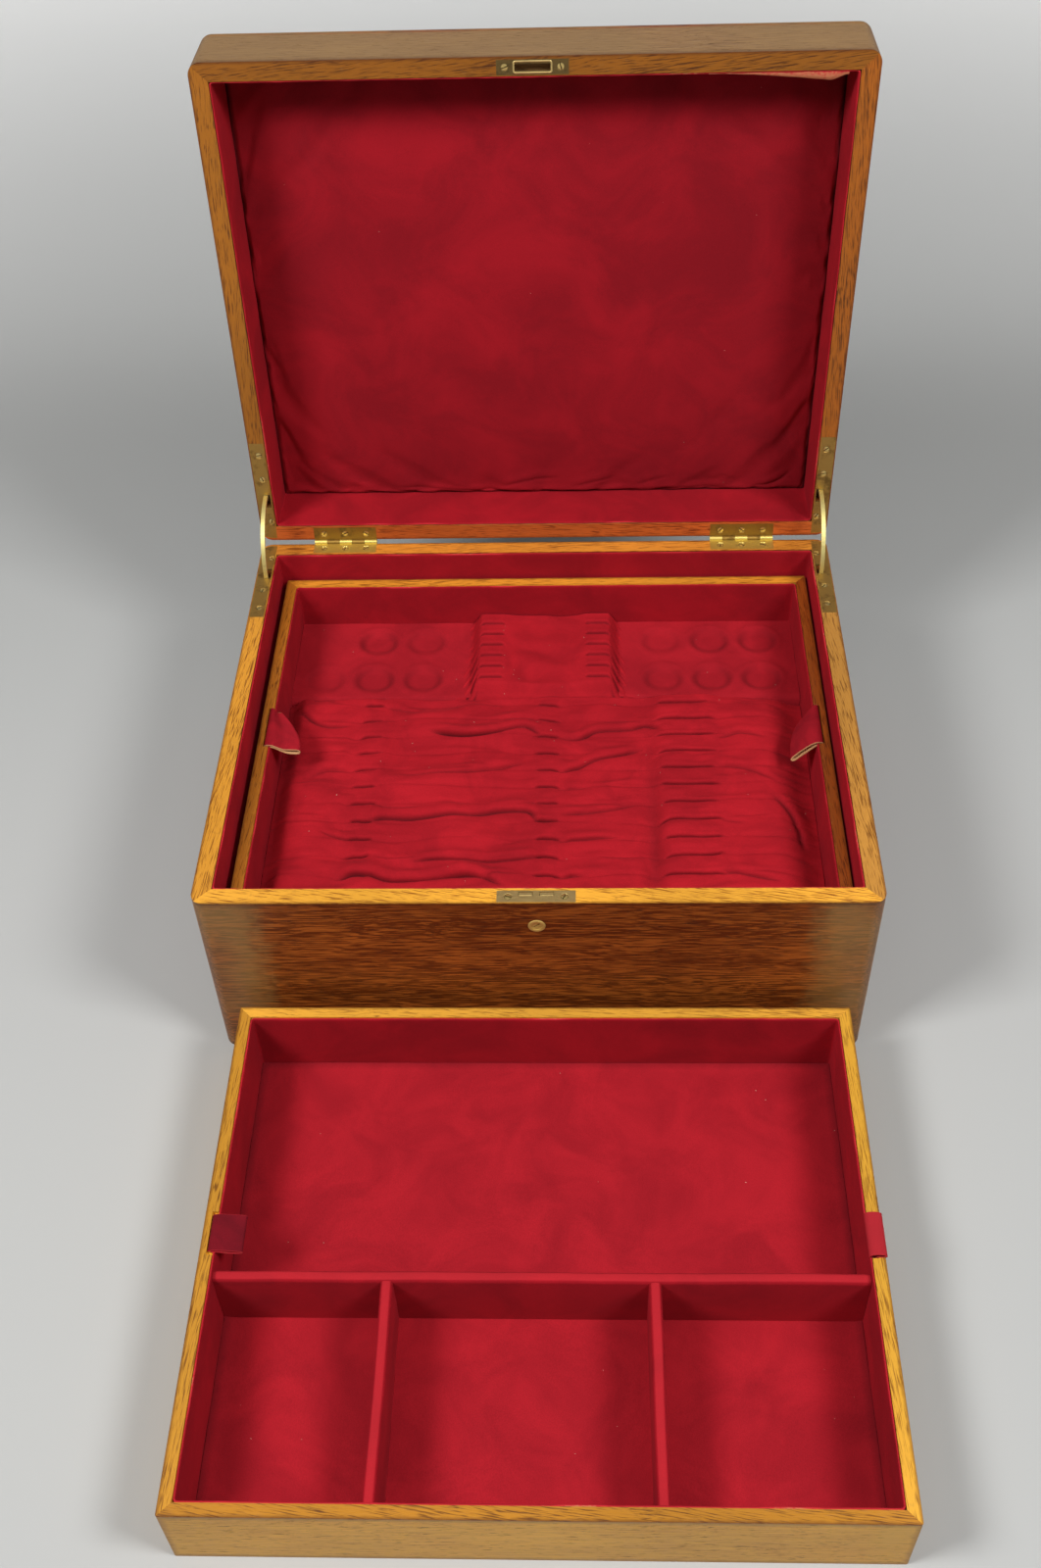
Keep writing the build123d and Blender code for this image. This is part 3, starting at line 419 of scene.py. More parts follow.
def oak_board(name, number, is_lid, along_y, block, rim_height, face, rim):
    """Stained oak with a golden rim. block is (centre, half size) of the box it belongs to.

    face is light, dark, greyed and worn tones, their contrast, the strokes' length and how far
    the greyed border reaches in from each side; rim is light and dark tones and the slant of
    its strokes in degrees. Lengths are in mm.
    """
    material, tree, shader = new_material(name)
    centre, half_size = block
    light, dark, greyed, rubbed, contrast, stroke_length, grey_reach = face
    rim_light, rim_dark, slant = rim
    place = object_place(tree)
    if is_lid:
        place = turned(tree, place, "X", open_angle, hinge)
    grain_place = turned(tree, place, "Z", math.pi / 2) if along_y else place
    outside = use_group(tree, oak_grain, {
        "Position": grain_place, "Board": number, "Light": tone(*light), "Dark": tone(*dark),
        "Dark Share": 0.53, "Contrast": contrast, "Stroke Length": stroke_length * mm,
        "Stroke Width": 0.8 * mm,
    })
    golden = use_group(tree, oak_grain, {
        "Position": turned(tree, grain_place, "Z", math.radians(slant)), "Board": number + 0.5,
        "Light": tone(*rim_light), "Dark": tone(*rim_dark), "Pore": tone(*rim_dark),
        "Dark Share": 0.41, "Contrast": 0.1, "Stroke Length": 16 * mm, "Stroke Width": 0.75 * mm,
    })
    height = node_in(tree, "ShaderNodeSeparateXYZ", {0: place}).outputs["Z"]
    ragged = noise_value(tree, place, 3.0, scale=240)
    level = calc(tree, "ADD", height, around_zero(tree, ragged, 1.1 * mm))
    blend_start, blend_end = 0.1 * mm, 0.7 * mm
    if is_lid:
        stained = window(tree, level, rim_height + blend_start, rim_height + blend_end)
        on_rim = calc(tree, "SUBTRACT", 1.0, stained)
    else:
        on_rim = window(tree, level, rim_height - blend_end, rim_height - blend_start)
    edges = {"Position": place, "Centre": centre, "Half Size": half_size}
    worn = use_group(tree, near_edges,
                     {**edges, "Reach": Vector((5, 5, 5)) * mm, "Raggedness": 1.2})["Mask"]
    soiled = use_group(tree, near_edges,
                       {**edges, "Reach": Vector((2.2, 2.2, 2.2)) * mm, "Raggedness": 1.6})["Mask"]
    # Only the lid greys along its top. The other boxes' blocks reach far above their rims.
    above_rim = Vector((0, 0, 0 if is_lid else 80 * mm))
    greyer_border = use_group(tree, near_edges, {
        "Position": place, "Centre": centre + above_rim, "Half Size": half_size + above_rim,
        "Reach": Vector(grey_reach) * mm, "Raggedness": 0.5,
    })["Mask"]
    patch = window(tree, noise_value(tree, place, scale=9), 0.3, 0.62)
    grey = calc(tree, "MULTIPLY", window(tree, greyer_border, 0.0, 0.5), patch)
    grey = calc(tree, "MULTIPLY", grey, 0.5)
    colour = mix_colour(tree, outside["Color"], tone(*greyed), grey)
    colour = mix_colour(tree, colour, tone(*rubbed), calc(tree, "MULTIPLY", worn, 0.8))
    rim_colour = mix_colour(tree, golden["Color"], tone(84, 40, 14), calc(tree, "MULTIPLY", soiled, 0.7))
    pores = calc(tree, "MULTIPLY", outside["Pores"], 0.25)
    feed(tree, shader, {
        "Base Color": mix_colour(tree, colour, rim_colour, on_rim),
        "Roughness": calc(tree, "ADD", calc(tree, "MULTIPLY", grey, 0.2), calc(tree, "ADD", pores, 0.36)),
        "Normal": bumped(tree, outside["Height"], 0.35, 0.25 * mm),
        "Specular IOR Level": 0.25,
        "Coat Weight": 0.06,
        "Coat Roughness": 0.3,
    })
    return material


def dress(name, material):
    """Give a CAD node one material in place of those it came with."""
    nodes[name].data.materials.clear()
    nodes[name].data.materials.append(material)


dark_face = ((162, 88, 32), (96, 44, 13), (160, 128, 72), (66, 30, 12), 0.08, 22, (54, 54, 12))
# Painted light: the lid's front board, upturned when the lid is open, gets a paler, greyer stain.
painted_light_lid_face = ((160, 122, 74), (132, 94, 54), (142, 112, 74), (96, 60, 30), 0.16, 20, (50, 50, 50))
pale_face = ((238, 178, 52), (214, 150, 38), (222, 174, 86), (140, 92, 34), 0.2, 40, (30, 30, 8))
# Painted shade: the trays' right boards get a darker copy of the pale stain.
painted_shade_face = ((190, 136, 48), (160, 108, 34), (170, 130, 70), (120, 78, 30), 0.2, 40, (30, 30, 8))
# Each rim is its light and dark tones and the slant of its strokes in degrees.
# Painted shade: the lid's rims, which face the front when it is open, get darker tones.
rim_tones = {
    "chest_front": ((240, 172, 58), (150, 90, 26), 10), "chest_back": ((222, 142, 50), (140, 78, 24), -4),
    "chest_left": ((206, 142, 46), (128, 76, 22), 5), "chest_right": ((190, 134, 58), (120, 74, 26), -5),
    "lid_front": ((142, 86, 20), (78, 40, 10), 7), "lid_back": ((196, 96, 40), (122, 50, 20), -3),
    "lid_left": ((168, 104, 27), (98, 52, 13), -4), "lid_right": ((164, 92, 24), (96, 50, 12), 4),
    "lower_front": ((222, 150, 54), (140, 84, 26), 6), "lower_back": ((226, 150, 48), (146, 84, 24), -5),
    "lower_left": ((196, 122, 38), (124, 70, 20), 3), "lower_right": ((166, 84, 28), (104, 46, 14), -3),
    "upper_front": ((184, 124, 36), (106, 64, 22), 9), "upper_back": ((224, 164, 58), (142, 92, 32), 5),
    "upper_left": ((196, 138, 44), (122, 76, 24), 4), "upper_right": ((222, 164, 54), (146, 96, 30), -4),
}
chest_block = (
    Vector((0, 0, rim_z / 2)),
    Vector((chest_half_x, chest_half_y, rim_z / 2)),
)
lid_block = (
    Vector((0, 0, (lid_rim_z + lid_top_z) / 2)),
    Vector((chest_half_x, chest_half_y, (lid_top_z - lid_rim_z) / 2)),
)


def tray_block(tray):
    """Centre and half size of a whole tray."""
    corners = [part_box(f"{tray}_tray_{side}_board") for side in ("front", "back", "left", "right")]
    low = Vector([min(c[0][i] for c in corners) for i in range(3)])
    high = Vector([max(c[1][i] for c in corners) for i in range(3)])
    return (low + high) / 2, (high - low) / 2


board_number = 1.0
for side in ("front", "back", "left", "right"):
    along_y = side in ("left", "right")
    for half, block, rim_height in (("chest", chest_block, rim_z), ("lid", lid_block, lid_rim_z)):
        name = f"{half}_{side}_board"
        face = painted_light_lid_face if name == "lid_front_board" else dark_face
        dress(name, oak_board(f"oak_{half}_{side}", board_number, half == "lid", along_y, block,
                              rim_height, face, rim_tones[f"{half}_{side}"]))
        board_number += 1.0
    for tray in ("lower", "upper"):
        block = tray_block(tray)
        name = f"{tray}_tray_{side}_board"
        face = painted_shade_face if side == "right" else pale_face
        dress(name, oak_board(f"oak_{tray}_tray_{side}", board_number, False, along_y, block,
                              block[0].z + block[1].z, face, rim_tones[f"{tray}_{side}"]))
        board_number += 1.0
dress("lid_top_panel", oak_board("oak_lid_top", board_number, True, False, lid_block, 0.0,
                                 dark_face, rim_tones["lid_back"]))
print("oak on", int(board_number), "boards")

# %% [markdown]
# The bottoms and the bearers are plain wood without varnish, the same grain in pale tones.

# %% Plain wood
def plain_wood(name, number):
    """Pale bare wood with a rough surface."""
    material, tree, shader = new_material(name)
    grain = use_group(tree, oak_grain, {
        "Position": object_place(tree), "Board": number, "Light": tone(196, 158, 106),
        "Dark": tone(164, 122, 74), "Pore": tone(120, 84, 48), "Dark Share": 0.45, "Contrast": 0.2,
    })
    feed(tree, shader, {"Base Color": grain["Color"], "Roughness": 0.7,
                        "Normal": bumped(tree, grain["Height"], 0.3, 0.2 * mm)})
    return material


plain_nodes = ("chest_base_board", "lower_tray_bottom", "upper_tray_bottom", "tray_bearer_left",
               "tray_bearer_right")
for number, name in enumerate(plain_nodes):
    dress(name, plain_wood(f"plain_{name}", 31.0 + number))
print("plain wood on", len(plain_nodes), "nodes")

# %% [markdown]
# Old brass is bright where hands rub it and brown where they don't. A group puts out how
# tarnished a point is, with fine scratches, and each fitting takes its own share of both.

# %% Brass and steel
def build_tarnish():
    """Cloudy tarnish and fine scratches as masks."""
    tree, inlet, outlet = new_tree(
        "ShaderNodeTree", "tarnish",
        [("Position", "Vector", None), ("Amount", "Float", 0.5)],
        [("Tarnish", "Float"), ("Scratches", "Float")],
    )
    place = inlet.outputs["Position"]
    clouds = noise_value(tree, place, 4.0, scale=95, roughness=0.6)
    low = calc(tree, "SUBTRACT", 0.78, calc(tree, "MULTIPLY", inlet.outputs["Amount"], 0.5))
    brushed = noise_value(tree, vector_calc(tree, "MULTIPLY", place, (90, 1500, 1500)))
    feed(tree, outlet, {
        "Tarnish": window(tree, clouds, low, calc(tree, "ADD", low, 0.22)),
        "Scratches": window(tree, brushed, 0.42, 0.62),
    })
    return tree


tarnish = build_tarnish()


def metal(name, bright, dull, amount, roughness, metallic=0.9):
    """Metal with tarnish. bright and dull are its two tones. The attribute grime darkens it."""
    material, tree, shader = new_material(name)
    age = use_group(tree, tarnish, {"Position": object_place(tree), "Amount": amount})
    worn = calc(tree, "MULTIPLY", age["Tarnish"], 0.85)
    colour = mix_colour(tree, tone(*bright), tone(*dull), worn)
    rough = calc(tree, "ADD", calc(tree, "MULTIPLY", age["Tarnish"], 0.22), roughness)
    feed(tree, shader, {
        "Base Color": mix_colour(tree, colour, tone(46, 32, 18), point_value(tree, "grime")),
        "Roughness": calc(tree, "ADD", rough, calc(tree, "MULTIPLY", age["Scratches"], 0.08)),
        "Normal": bumped(tree, age["Scratches"], 0.15, 0.1 * mm),
        "Metallic": metallic,
    })
    return material


hinge_brass = metal("hinge_brass", (220, 196, 108), (150, 122, 60), 0.35, 0.38)
lid_leaf_brass = metal("lid_leaf_brass", (150, 118, 56), (104, 78, 34), 0.55, 0.45)
plate_brass = metal("plate_brass", (168, 134, 70), (104, 78, 38), 0.6, 0.45)
lock_brass = metal("lock_brass", (206, 180, 118), (124, 104, 62), 0.5, 0.4)
key_brass = metal("key_brass", (190, 158, 84), (120, 94, 46), 0.45, 0.5, metallic=0.4)
strike_brass = metal("strike_brass", (112, 92, 54), (66, 54, 32), 0.6, 0.5)
screw_brass = metal("screw_brass", (216, 190, 120), (150, 122, 66), 0.35, 0.34)
arc_brass = metal("arc_brass", (212, 198, 128), (156, 136, 78), 0.35, 0.46)
case_steel = metal("case_steel", (150, 146, 138), (92, 84, 76), 0.6, 0.5)
for name in list(nodes):
    if name.endswith("_lid_leaf"):
        dress(name, lid_leaf_brass)
    elif name.endswith("_leaf") or name == "hinge_pins":
        dress(name, hinge_brass)
    elif name.endswith("_plate") and name.startswith("stay_"):
        dress(name, plate_brass)
    elif name.endswith("_arc"):
        dress(name, arc_brass)
    elif name in ("lock_selvedge_plate", "lock_bolt"):
        dress(name, lock_brass)
    elif name.startswith("key_"):
        dress(name, key_brass)
    elif name == "strike_plate":
        dress(name, strike_brass)
    elif name.endswith("_wood_screws"):
        dress(name, screw_brass)
    elif name == "lock_case":
        dress(name, case_steel)
print("brass in eight tempers")

# %% [markdown]
# Velvet looks cloudy because its pile leans in patches, and each patch sends back another
# share of the light. The group gives those patches, fine fibres and a height for the pile.

# %% Velvet and ribbon
def build_pile():
    """Velvet pile: patches where it leans, fine fibres, and a height."""
    tree, inlet, outlet = new_tree(
        "ShaderNodeTree", "velvet_pile",
        [("Position", "Vector", None), ("Patch Scale", "Float", 38.0), ("Nap", "Float", 0.5)],
        [("Patches", "Float"), ("Fibres", "Float"), ("Height", "Float")],
    )
    place = inlet.outputs["Position"]
    leaning = noise_value(tree, place, 4.0, inlet.outputs["Patch Scale"], 0.62, 0.7)
    patches = window(tree, leaning, 0.30, 0.72)
    fibres = noise_value(tree, vector_calc(tree, "MULTIPLY", place, (1500, 1100, 1500)))
    nap = calc(tree, "MULTIPLY", fibres, inlet.outputs["Nap"])
    height = calc(tree, "ADD", nap, calc(tree, "MULTIPLY", patches, 0.6))
    feed(tree, outlet, {"Patches": patches, "Fibres": fibres, "Height": height})
    return tree


velvet_pile = build_pile()


def velvet(name, bright, deep, edge=(196, 120, 84), patch_scale=38.0):
    """Velvet in two reds. The attribute bare shows its pale ground, and deep is painted shade in its creases
    and hollows.
    """
    material, tree, shader = new_material(name)
    place = object_place(tree)
    pile = use_group(tree, velvet_pile, {"Position": place, "Patch Scale": patch_scale})
    patches = calc(tree, "ADD", calc(tree, "MULTIPLY", pile["Patches"], 0.56), 0.26)
    colour = mix_colour(tree, tone(*deep), tone(*bright), patches)
    fibre = ramp(tree, pile["Fibres"], [(0.3, (0.88, 0.86, 0.86)), (0.7, (1.08, 1.07, 1.07))])
    colour = mix_colour(tree, colour, fibre, 1.0, "MULTIPLY")
    # Painted shade: deep turns the velvet a near-black red in creases, slots, folds and along borders.
    painted_shade = calc(tree, "MULTIPLY", point_value(tree, "deep"), 0.9, clamp=True)
    colour = mix_colour(tree, colour, tone(46, 3, 9), painted_shade)
    bare = point_value(tree, "bare")
    rubbed = calc(tree, "MULTIPLY", window(tree, bare, 0.05, 0.3), 0.75)
    colour = mix_colour(tree, colour, tone(206, 48, 56), rubbed)
    frayed = around_zero(tree, noise_value(tree, place, 3.0, scale=420), 0.8)
    shows = window(tree, calc(tree, "ADD", bare, frayed), 0.45, 0.8)
    feed(tree, shader, {
        "Base Color": mix_colour(tree, colour, tone(*edge), shows),
        "Roughness": 0.9,
        "Normal": bumped(tree, pile["Height"], 0.3, 0.5 * mm),
        "Specular IOR Level": 0.15,
        "Sheen Weight": 0.16,
        "Sheen Roughness": 0.4,
        "Sheen Tint": tone(220, 70, 84),
    })
    return material


wall_velvet = velvet("wall_velvet", (172, 20, 34), (126, 11, 23), patch_scale=16.0)
lid_velvet = velvet("lid_velvet", (164, 20, 33), (118, 11, 23), patch_scale=15.0)
cloth_velvet = velvet("cloth_velvet", (182, 25, 37), (140, 14, 26), patch_scale=24.0)
pad_velvet = velvet("pad_velvet", (176, 27, 39), (138, 16, 28), patch_scale=20.0)
ribbon_velvet = velvet("ribbon_velvet", (176, 26, 40), (120, 14, 26), edge=(206, 160, 112))
dark_ribbon = velvet("dark_ribbon", (124, 15, 29), (88, 10, 21), edge=(180, 110, 84))
for name in list(nodes):
    if name == "lid_pad":
        dress(name, lid_velvet)
    elif "lining" in name or "divider" in name:
        dress(name, wall_velvet)
    elif name in ("lower_tray_floor_pad", "teaspoon_racks"):
        dress(name, pad_velvet)
    elif name.startswith("rack_"):
        dress(name, cloth_velvet)
    elif "_tab_" in name:
        dress(name, ribbon_velvet)
print("velvet on the soft nodes until their own pieces stand in for them")

# %% [markdown]
# The soft pieces start as rows of points worked out by a rule, with a little noise, since
# hand-laid velvet is never quite flat. A point attribute named bare marks the cut edges,
# where the pile is gone and the pale ground shows.

# %% Helpers for soft meshes
def grid_object(name, rows, closed=False):
    """A smooth mesh over rows of points. closed joins the last column to the first."""
    height, width = rows.shape[:2]
    index = np.arange(height * width).reshape(height, width)
    if closed:
        index = np.concatenate([index, index[:, :1]], axis=1)
    corners = [index[:-1, :-1], index[:-1, 1:], index[1:, 1:], index[1:, :-1]]
    faces = np.stack(corners, -1).reshape(-1, 4)
    made = mesh_from(name, rows.reshape(-1, 3).tolist(), faces.tolist())
    made.data.polygons.foreach_set("use_smooth", [True] * len(made.data.polygons))
    return made


def ripple(points, size, seed=0.0):
    """Smooth noise from about -1 to 1 at each point, in bumps of a given size."""
    flat = np.asarray(points, float).reshape(-1, 3) / size + np.array((7.3, 3.1, 1.7)) * seed
    values = np.array([noise.noise(Vector(p)) for p in flat])
    return values.reshape(np.asarray(points).shape[:-1])


def mark(piece, label, values):
    """Store a value from 0 to 1 at each point, under a name that the velvet reads."""
    attribute = piece.data.attributes.new(label, "FLOAT", "POINT")
    attribute.data.foreach_set("value", np.asarray(values, np.float32).reshape(-1))


def finer(values):
    """Rows of points with a smooth new one halfway between each two, both ways."""
    for axis in (0, 1):
        values = np.moveaxis(values, axis, 0)
        padded = np.concatenate([2 * values[:1] - values[1:2], values, 2 * values[-1:] - values[-2:-1]])
        halfway = (9 * (padded[1:-2] + padded[2:-1]) - padded[:-3] - padded[3:]) / 16
        joined = np.zeros((2 * len(values) - 1, *values.shape[1:]))
        joined[0::2] = values
        joined[1::2] = halfway
        values = np.moveaxis(joined, 0, axis)
    return values


def placed(points, matrix):
    """Points moved by a matrix."""
    values = np.asarray(points, float)
    return values @ np.array(matrix.to_3x3()).T + np.array(matrix.translation)


def smooth_step(value, low, high):
    """0 below low, 1 above high, smooth between."""
    share = np.clip((value - low) / (high - low), 0, 1)
    return share * share * (3 - 2 * share)


def fading(value, start, end):
    """1 below start, 0 above end, smooth between."""
    return 1 - smooth_step(value, start, end)


def bell(offset, width):
    """1 where there is no offset, falling off on both sides within about a width."""
    return np.exp(-((offset / width) ** 2))


def over(x, y, height=0.0):
    """Points over grids of x and y, at one height or at a height for each."""
    return np.stack([x, y, np.broadcast_to(height, x.shape)], -1)


def smooth_path(points, count):
    """A smooth line through points, as evenly counted samples."""
    points = np.array(points, float)
    ends = np.concatenate([2 * points[:1] - points[1:2], points, 2 * points[-1:] - points[-2:-1]])
    result = []
    for value in np.linspace(0, len(points) - 1 - 1e-6, count):
        k, t = int(value), value - int(value)
        a, b, c, d = ends[k], ends[k + 1], ends[k + 2], ends[k + 3]
        result.append(0.5 * (2 * b + (c - a) * t + (2 * a - 5 * b + 4 * c - d) * t * t
                             + (3 * b - a - 3 * c + d) * t ** 3))
    return np.array(result)


def finish_soft(piece, body, slot_name, material, *replaced, held=None):
    """Give a soft piece its material, hang it on its body, and hide the CAD nodes it stands for.
    slot_name is not used. A piece with held stays where it is and is hung on no body; the
    values in held are not used."""
    piece.data.materials.append(material)
    if held:
        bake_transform(piece)
    else:
        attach(piece, body)
    if replaced:
        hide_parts(*replaced)
    return piece


lid_turn = Matrix.Rotation(-open_angle, 4, "X")
lid_opened = Matrix.Translation(hinge) @ lid_turn @ Matrix.Translation(-hinge)
upside_down = Matrix.Rotation(math.pi, 4, "X")
lid_depth = 47.5 * mm
lid_inside = lid_opened @ Matrix.Translation((0, 0, lid_rim_z + lid_depth)) @ upside_down
print("lid inside starts at", tuple(round(v, 4) for v in lid_inside.translation))

# %% [markdown]
# Each wall lining is one strip glued round four walls. It is drawn as a loop that climbs
# out from behind, rolls over the frayed top edge and falls down the inside, so the edge
# has real thickness where it shows along the rim.

# %% Wall linings
def wall_loop(half_x, half_y, radius, step):
    """Points and inward directions round a rectangle with rounded corners, anticlockwise."""
    points = []
    corners = [(1, 1, 0), (-1, 1, 90), (-1, -1, 180), (1, -1, 270)]
    for sign_x, sign_y, start in corners:
        middle = Vector((sign_x * (half_x - radius), sign_y * (half_y - radius)))
        for k in range(5):
            angle = math.radians(start + 22.5 * k)
            out = Vector((math.cos(angle), math.sin(angle)))
            points.append((middle + out * radius, -out))
    loop = []
    for (here, inward), (after, inward_after) in zip(points, points[1:] + points[:1]):
        count = max(1, round((after - here).length / step))
        for k in range(count):
            share = k / count
            loop.append((here.lerp(after, share), inward.lerp(inward_after, share).normalized()))
    return loop


def lining_ring(name, centre, half_x, half_y, low, high, matrix, fray, seed):
    """A strip of velvet round four walls, from low up to its frayed edge at high."""
    thick, behind = 1.4 * mm, 5 * mm
    # The edge's section: how far in from the wall, and how far over the top, in mm.
    lip = [(0.05, -behind / mm), (0.05, -1.0), (0.3, -0.3), (0.75, 0.0), (1.15, -0.35), (1.4, -1.3),
           (1.45, -3.0)]
    profile = [(inset * mm, high + drop * mm) for inset, drop in lip]
    fall = np.linspace(high - 6 * mm, low, max(3, round((high - low) / (9 * mm))))
    profile += [(thick, z) for z in fall]
    loop = wall_loop(half_x, half_y, 3 * mm, 3.2 * mm)
    rows = np.zeros((len(profile), len(loop), 3))
    for row, (inset, z) in enumerate(profile):
        for column, (spot, inward) in enumerate(loop):
            rows[row, column] = (spot.x + inward.x * inset, spot.y + inward.y * inset, z)
    bumps = (0.30 * ripple(rows, 34 * mm, seed) + 0.12 * ripple(rows, 9 * mm, seed + 1)) * mm
    edge = 0.7 * ripple(rows[0:1], 11 * mm, seed + 2) + 0.5 * ripple(rows[0:1], 3.4 * mm, seed + 3)
    edge = edge * fray
    inwards = np.array([(inward.x, inward.y, 0) for _, inward in loop])
    for row, (inset, z) in enumerate(profile):
        if inset > 1.0 * mm:
            rows[row] += inwards * (bumps[row] + 0.2 * mm)[:, None]
        rows[row, :, 2] += edge[0] * np.clip(1 - (high - z) / (4 * mm), 0, 1)
    rows[:, :, 0] += centre[0]
    rows[:, :, 1] += centre[1]
    piece = grid_object(name, placed(rows, matrix), closed=True)
    bare = np.zeros(rows.shape[:2])
    worn = 0.3 + 0.7 * smooth_step(ripple(rows[0], 40 * mm, seed + 4), 0.2, 0.5)
    bare[:len(lip)] = np.array([0.5, 0.8, 0.8, 0.62, 0.3, 0.06, 0.0])[:, None] * worn
    mark(piece, "bare", bare)
    return piece


still = Matrix.Identity(4)
for number, (body, fray) in enumerate((("chest", 0.5), ("lower_tray", 0.35), ("upper_tray", 0.35))):
    low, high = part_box(f"{body}_wall_lining")
    middle = (low + high) / 2
    half = (high - low) / 2
    ring = lining_ring(f"{body}_wall_velvet", middle, half.x, half.y, low.z, high.z, still, fray * mm,
                       3.0 * number + 1)
    finish_soft(ring, body, "velvet", wall_velvet, f"{body}_wall_lining")
lid_lining_low, lid_lining_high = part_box("lid_wall_lining")
lid_ring_depth = lid_depth - 0.6 * mm
lid_ring = lining_ring(
    "lid_wall_velvet", (0, 0), (lid_lining_high.x - lid_lining_low.x) / 2, chest_half_y - wall_thickness,
    -1.0 * mm, lid_ring_depth, lid_inside, 0.5 * mm, 19.0,
)
finish_soft(lid_ring, "lid", "velvet", wall_velvet, "lid_wall_lining")
print("linings round four boxes")

# %% [markdown]
# The floors are flat sheets with a soft swell, turned up a little where they meet a wall.

# %% Floor linings
def floor_lining(name, node, body, seed):
    """A sheet on a floor, its border turned up against the walls."""
    low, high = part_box(node)
    x = np.linspace(low.x + 0.4 * mm, high.x - 0.4 * mm, 74)
    y = np.linspace(low.y + 0.4 * mm, high.y - 0.4 * mm, 64)
    grid_x, grid_y = np.meshgrid(x, y)
    rows = over(grid_x, grid_y, high.z)
    border = np.minimum.reduce([grid_x - low.x, high.x - grid_x, grid_y - low.y, high.y - grid_y])
    rows[:, :, 2] += (0.35 * ripple(rows, 60 * mm, seed) + 0.15 * ripple(rows, 14 * mm, seed + 1)) * mm
    rows[:, :, 2] += 1.3 * mm * fading(border, 0, 5 * mm)
    piece = grid_object(name, rows)
    # Painted shade: the sheet darkens along its border and towards the side walls, as under their shadows.
    side_border = np.minimum(grid_x - low.x, high.x - grid_x)
    shade = 0.4 * fading(border, 0, 6 * mm)
    shade += 0.2 * fading(side_border, 2 * mm, 26 * mm)
    mark(piece, "deep", shade)
    finish_soft(piece, body, "velvet", pad_velvet, node)
    return piece


floor_lining("upper_tray_floor_velvet", "upper_tray_floor_lining", "upper_tray", 40.0)
floor_lining("chest_floor_velvet", "chest_floor_lining", "chest", 44.0)
print("two floors lined")

# %% [markdown]
# The dividers are thin boards with velvet pulled over them, so their tops are rounded and
# their sides are a little full.

# %% Dividers
def velvet_divider(name, low, high, body, seed, *replaced):
    """A covered board: an arched section carried along its length."""
    along_x = high.x - low.x > high.y - low.y
    length = high.x - low.x if along_x else high.y - low.y
    half = (high.y - low.y if along_x else high.x - low.x) / 2
    top_round = 2.6 * mm
    arc = [(-half + top_round * (1 - math.cos(a)), a) for a in np.linspace(0.3, math.pi / 2, 4)]
    outline = [(-half, low.z), (-half - 0.15 * mm, (low.z + high.z) / 2), (-half, high.z - top_round)]
    for across, angle in arc:
        outline.append((across, high.z - top_round + top_round * math.sin(angle)))
    outline += [(-across, z) for across, z in reversed(outline)]
    stations = np.linspace(0, length, max(4, round(length / (5 * mm))))
    rows = np.zeros((len(outline), len(stations), 3))
    for row, (across, z) in enumerate(outline):
        rows[row, :, 2] = z
        if along_x:
            rows[row, :, 0] = low.x + stations
            rows[row, :, 1] = (low.y + high.y) / 2 + across
        else:
            rows[row, :, 0] = (low.x + high.x) / 2 - across
            rows[row, :, 1] = low.y + stations
    lift = np.clip((rows[:, :, 2] - low.z) / (high.z - low.z), 0, 1)
    rows[:, :, 2] += 0.35 * mm * ripple(rows, 22 * mm, seed) * lift
    sway = 0.5 * mm * ripple(rows * (1, 1, 0.2), 60 * mm, seed + 1) * lift
    rows[:, :, 1 if along_x else 0] += sway
    piece = grid_object(name, rows)
    bare = np.zeros(rows.shape[:2])
    bare[5:-5] = 0.17
    mark(piece, "bare", bare)
    finish_soft(piece, body, "velvet", wall_velvet, *replaced)
    return piece


long_low, long_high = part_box("upper_tray_long_divider")
velvet_divider("upper_tray_long_velvet_divider", long_low, long_high, "upper_tray", 50.0,
               "upper_tray_long_divider")
cross_low, cross_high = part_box("upper_tray_cross_dividers")
divider_width = long_high.y - long_low.y
cross_ends = [(cross_low.x, cross_low.x + divider_width), (cross_high.x - divider_width, cross_high.x)]
for number, (start, end) in enumerate(cross_ends):
    low = Vector((start, cross_low.y, cross_low.z))
    high = Vector((end, cross_high.y + 0.5 * mm, cross_high.z))
    velvet_divider(f"upper_tray_cross_velvet_divider_{number + 1}", low, high, "upper_tray", 54.0 + number,
                   "upper_tray_cross_dividers")
print("three dividers covered")

# %% [markdown]
# Behind the racks lies a padded shelf with twelve round dents, pressed in by what stood
# there. Their rims are soft, and steeper at the left and right than in front.

# %% Floor pad with dents
pad_low, pad_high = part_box("lower_tray_floor_pad")
dent_radius, dent_depth = 15.5 * mm, 3.0 * mm
dent_rows = (pad_low.y + 23.8 * mm, pad_low.y + 68.5 * mm)
dent_columns = {
    -174: (0.45, 0.1), -135: (0.9, 0.9), -96: (0.8, 0.6),
    96: (0.7, 0.5), 135: (0.9, 0.9), 174: (0.9, 0.9),
}
x = np.linspace(pad_low.x, pad_high.x, 236)
y = np.linspace(pad_low.y, pad_high.y, 62)
grid_x, grid_y = np.meshgrid(x, y)
pad_rows = over(grid_x, grid_y, pad_high.z)
pad_rows[:, :, 2] += (0.5 * ripple(pad_rows, 45 * mm, 60) + 0.2 * ripple(pad_rows, 12 * mm, 61)) * mm
pad_shade = np.zeros_like(grid_x)
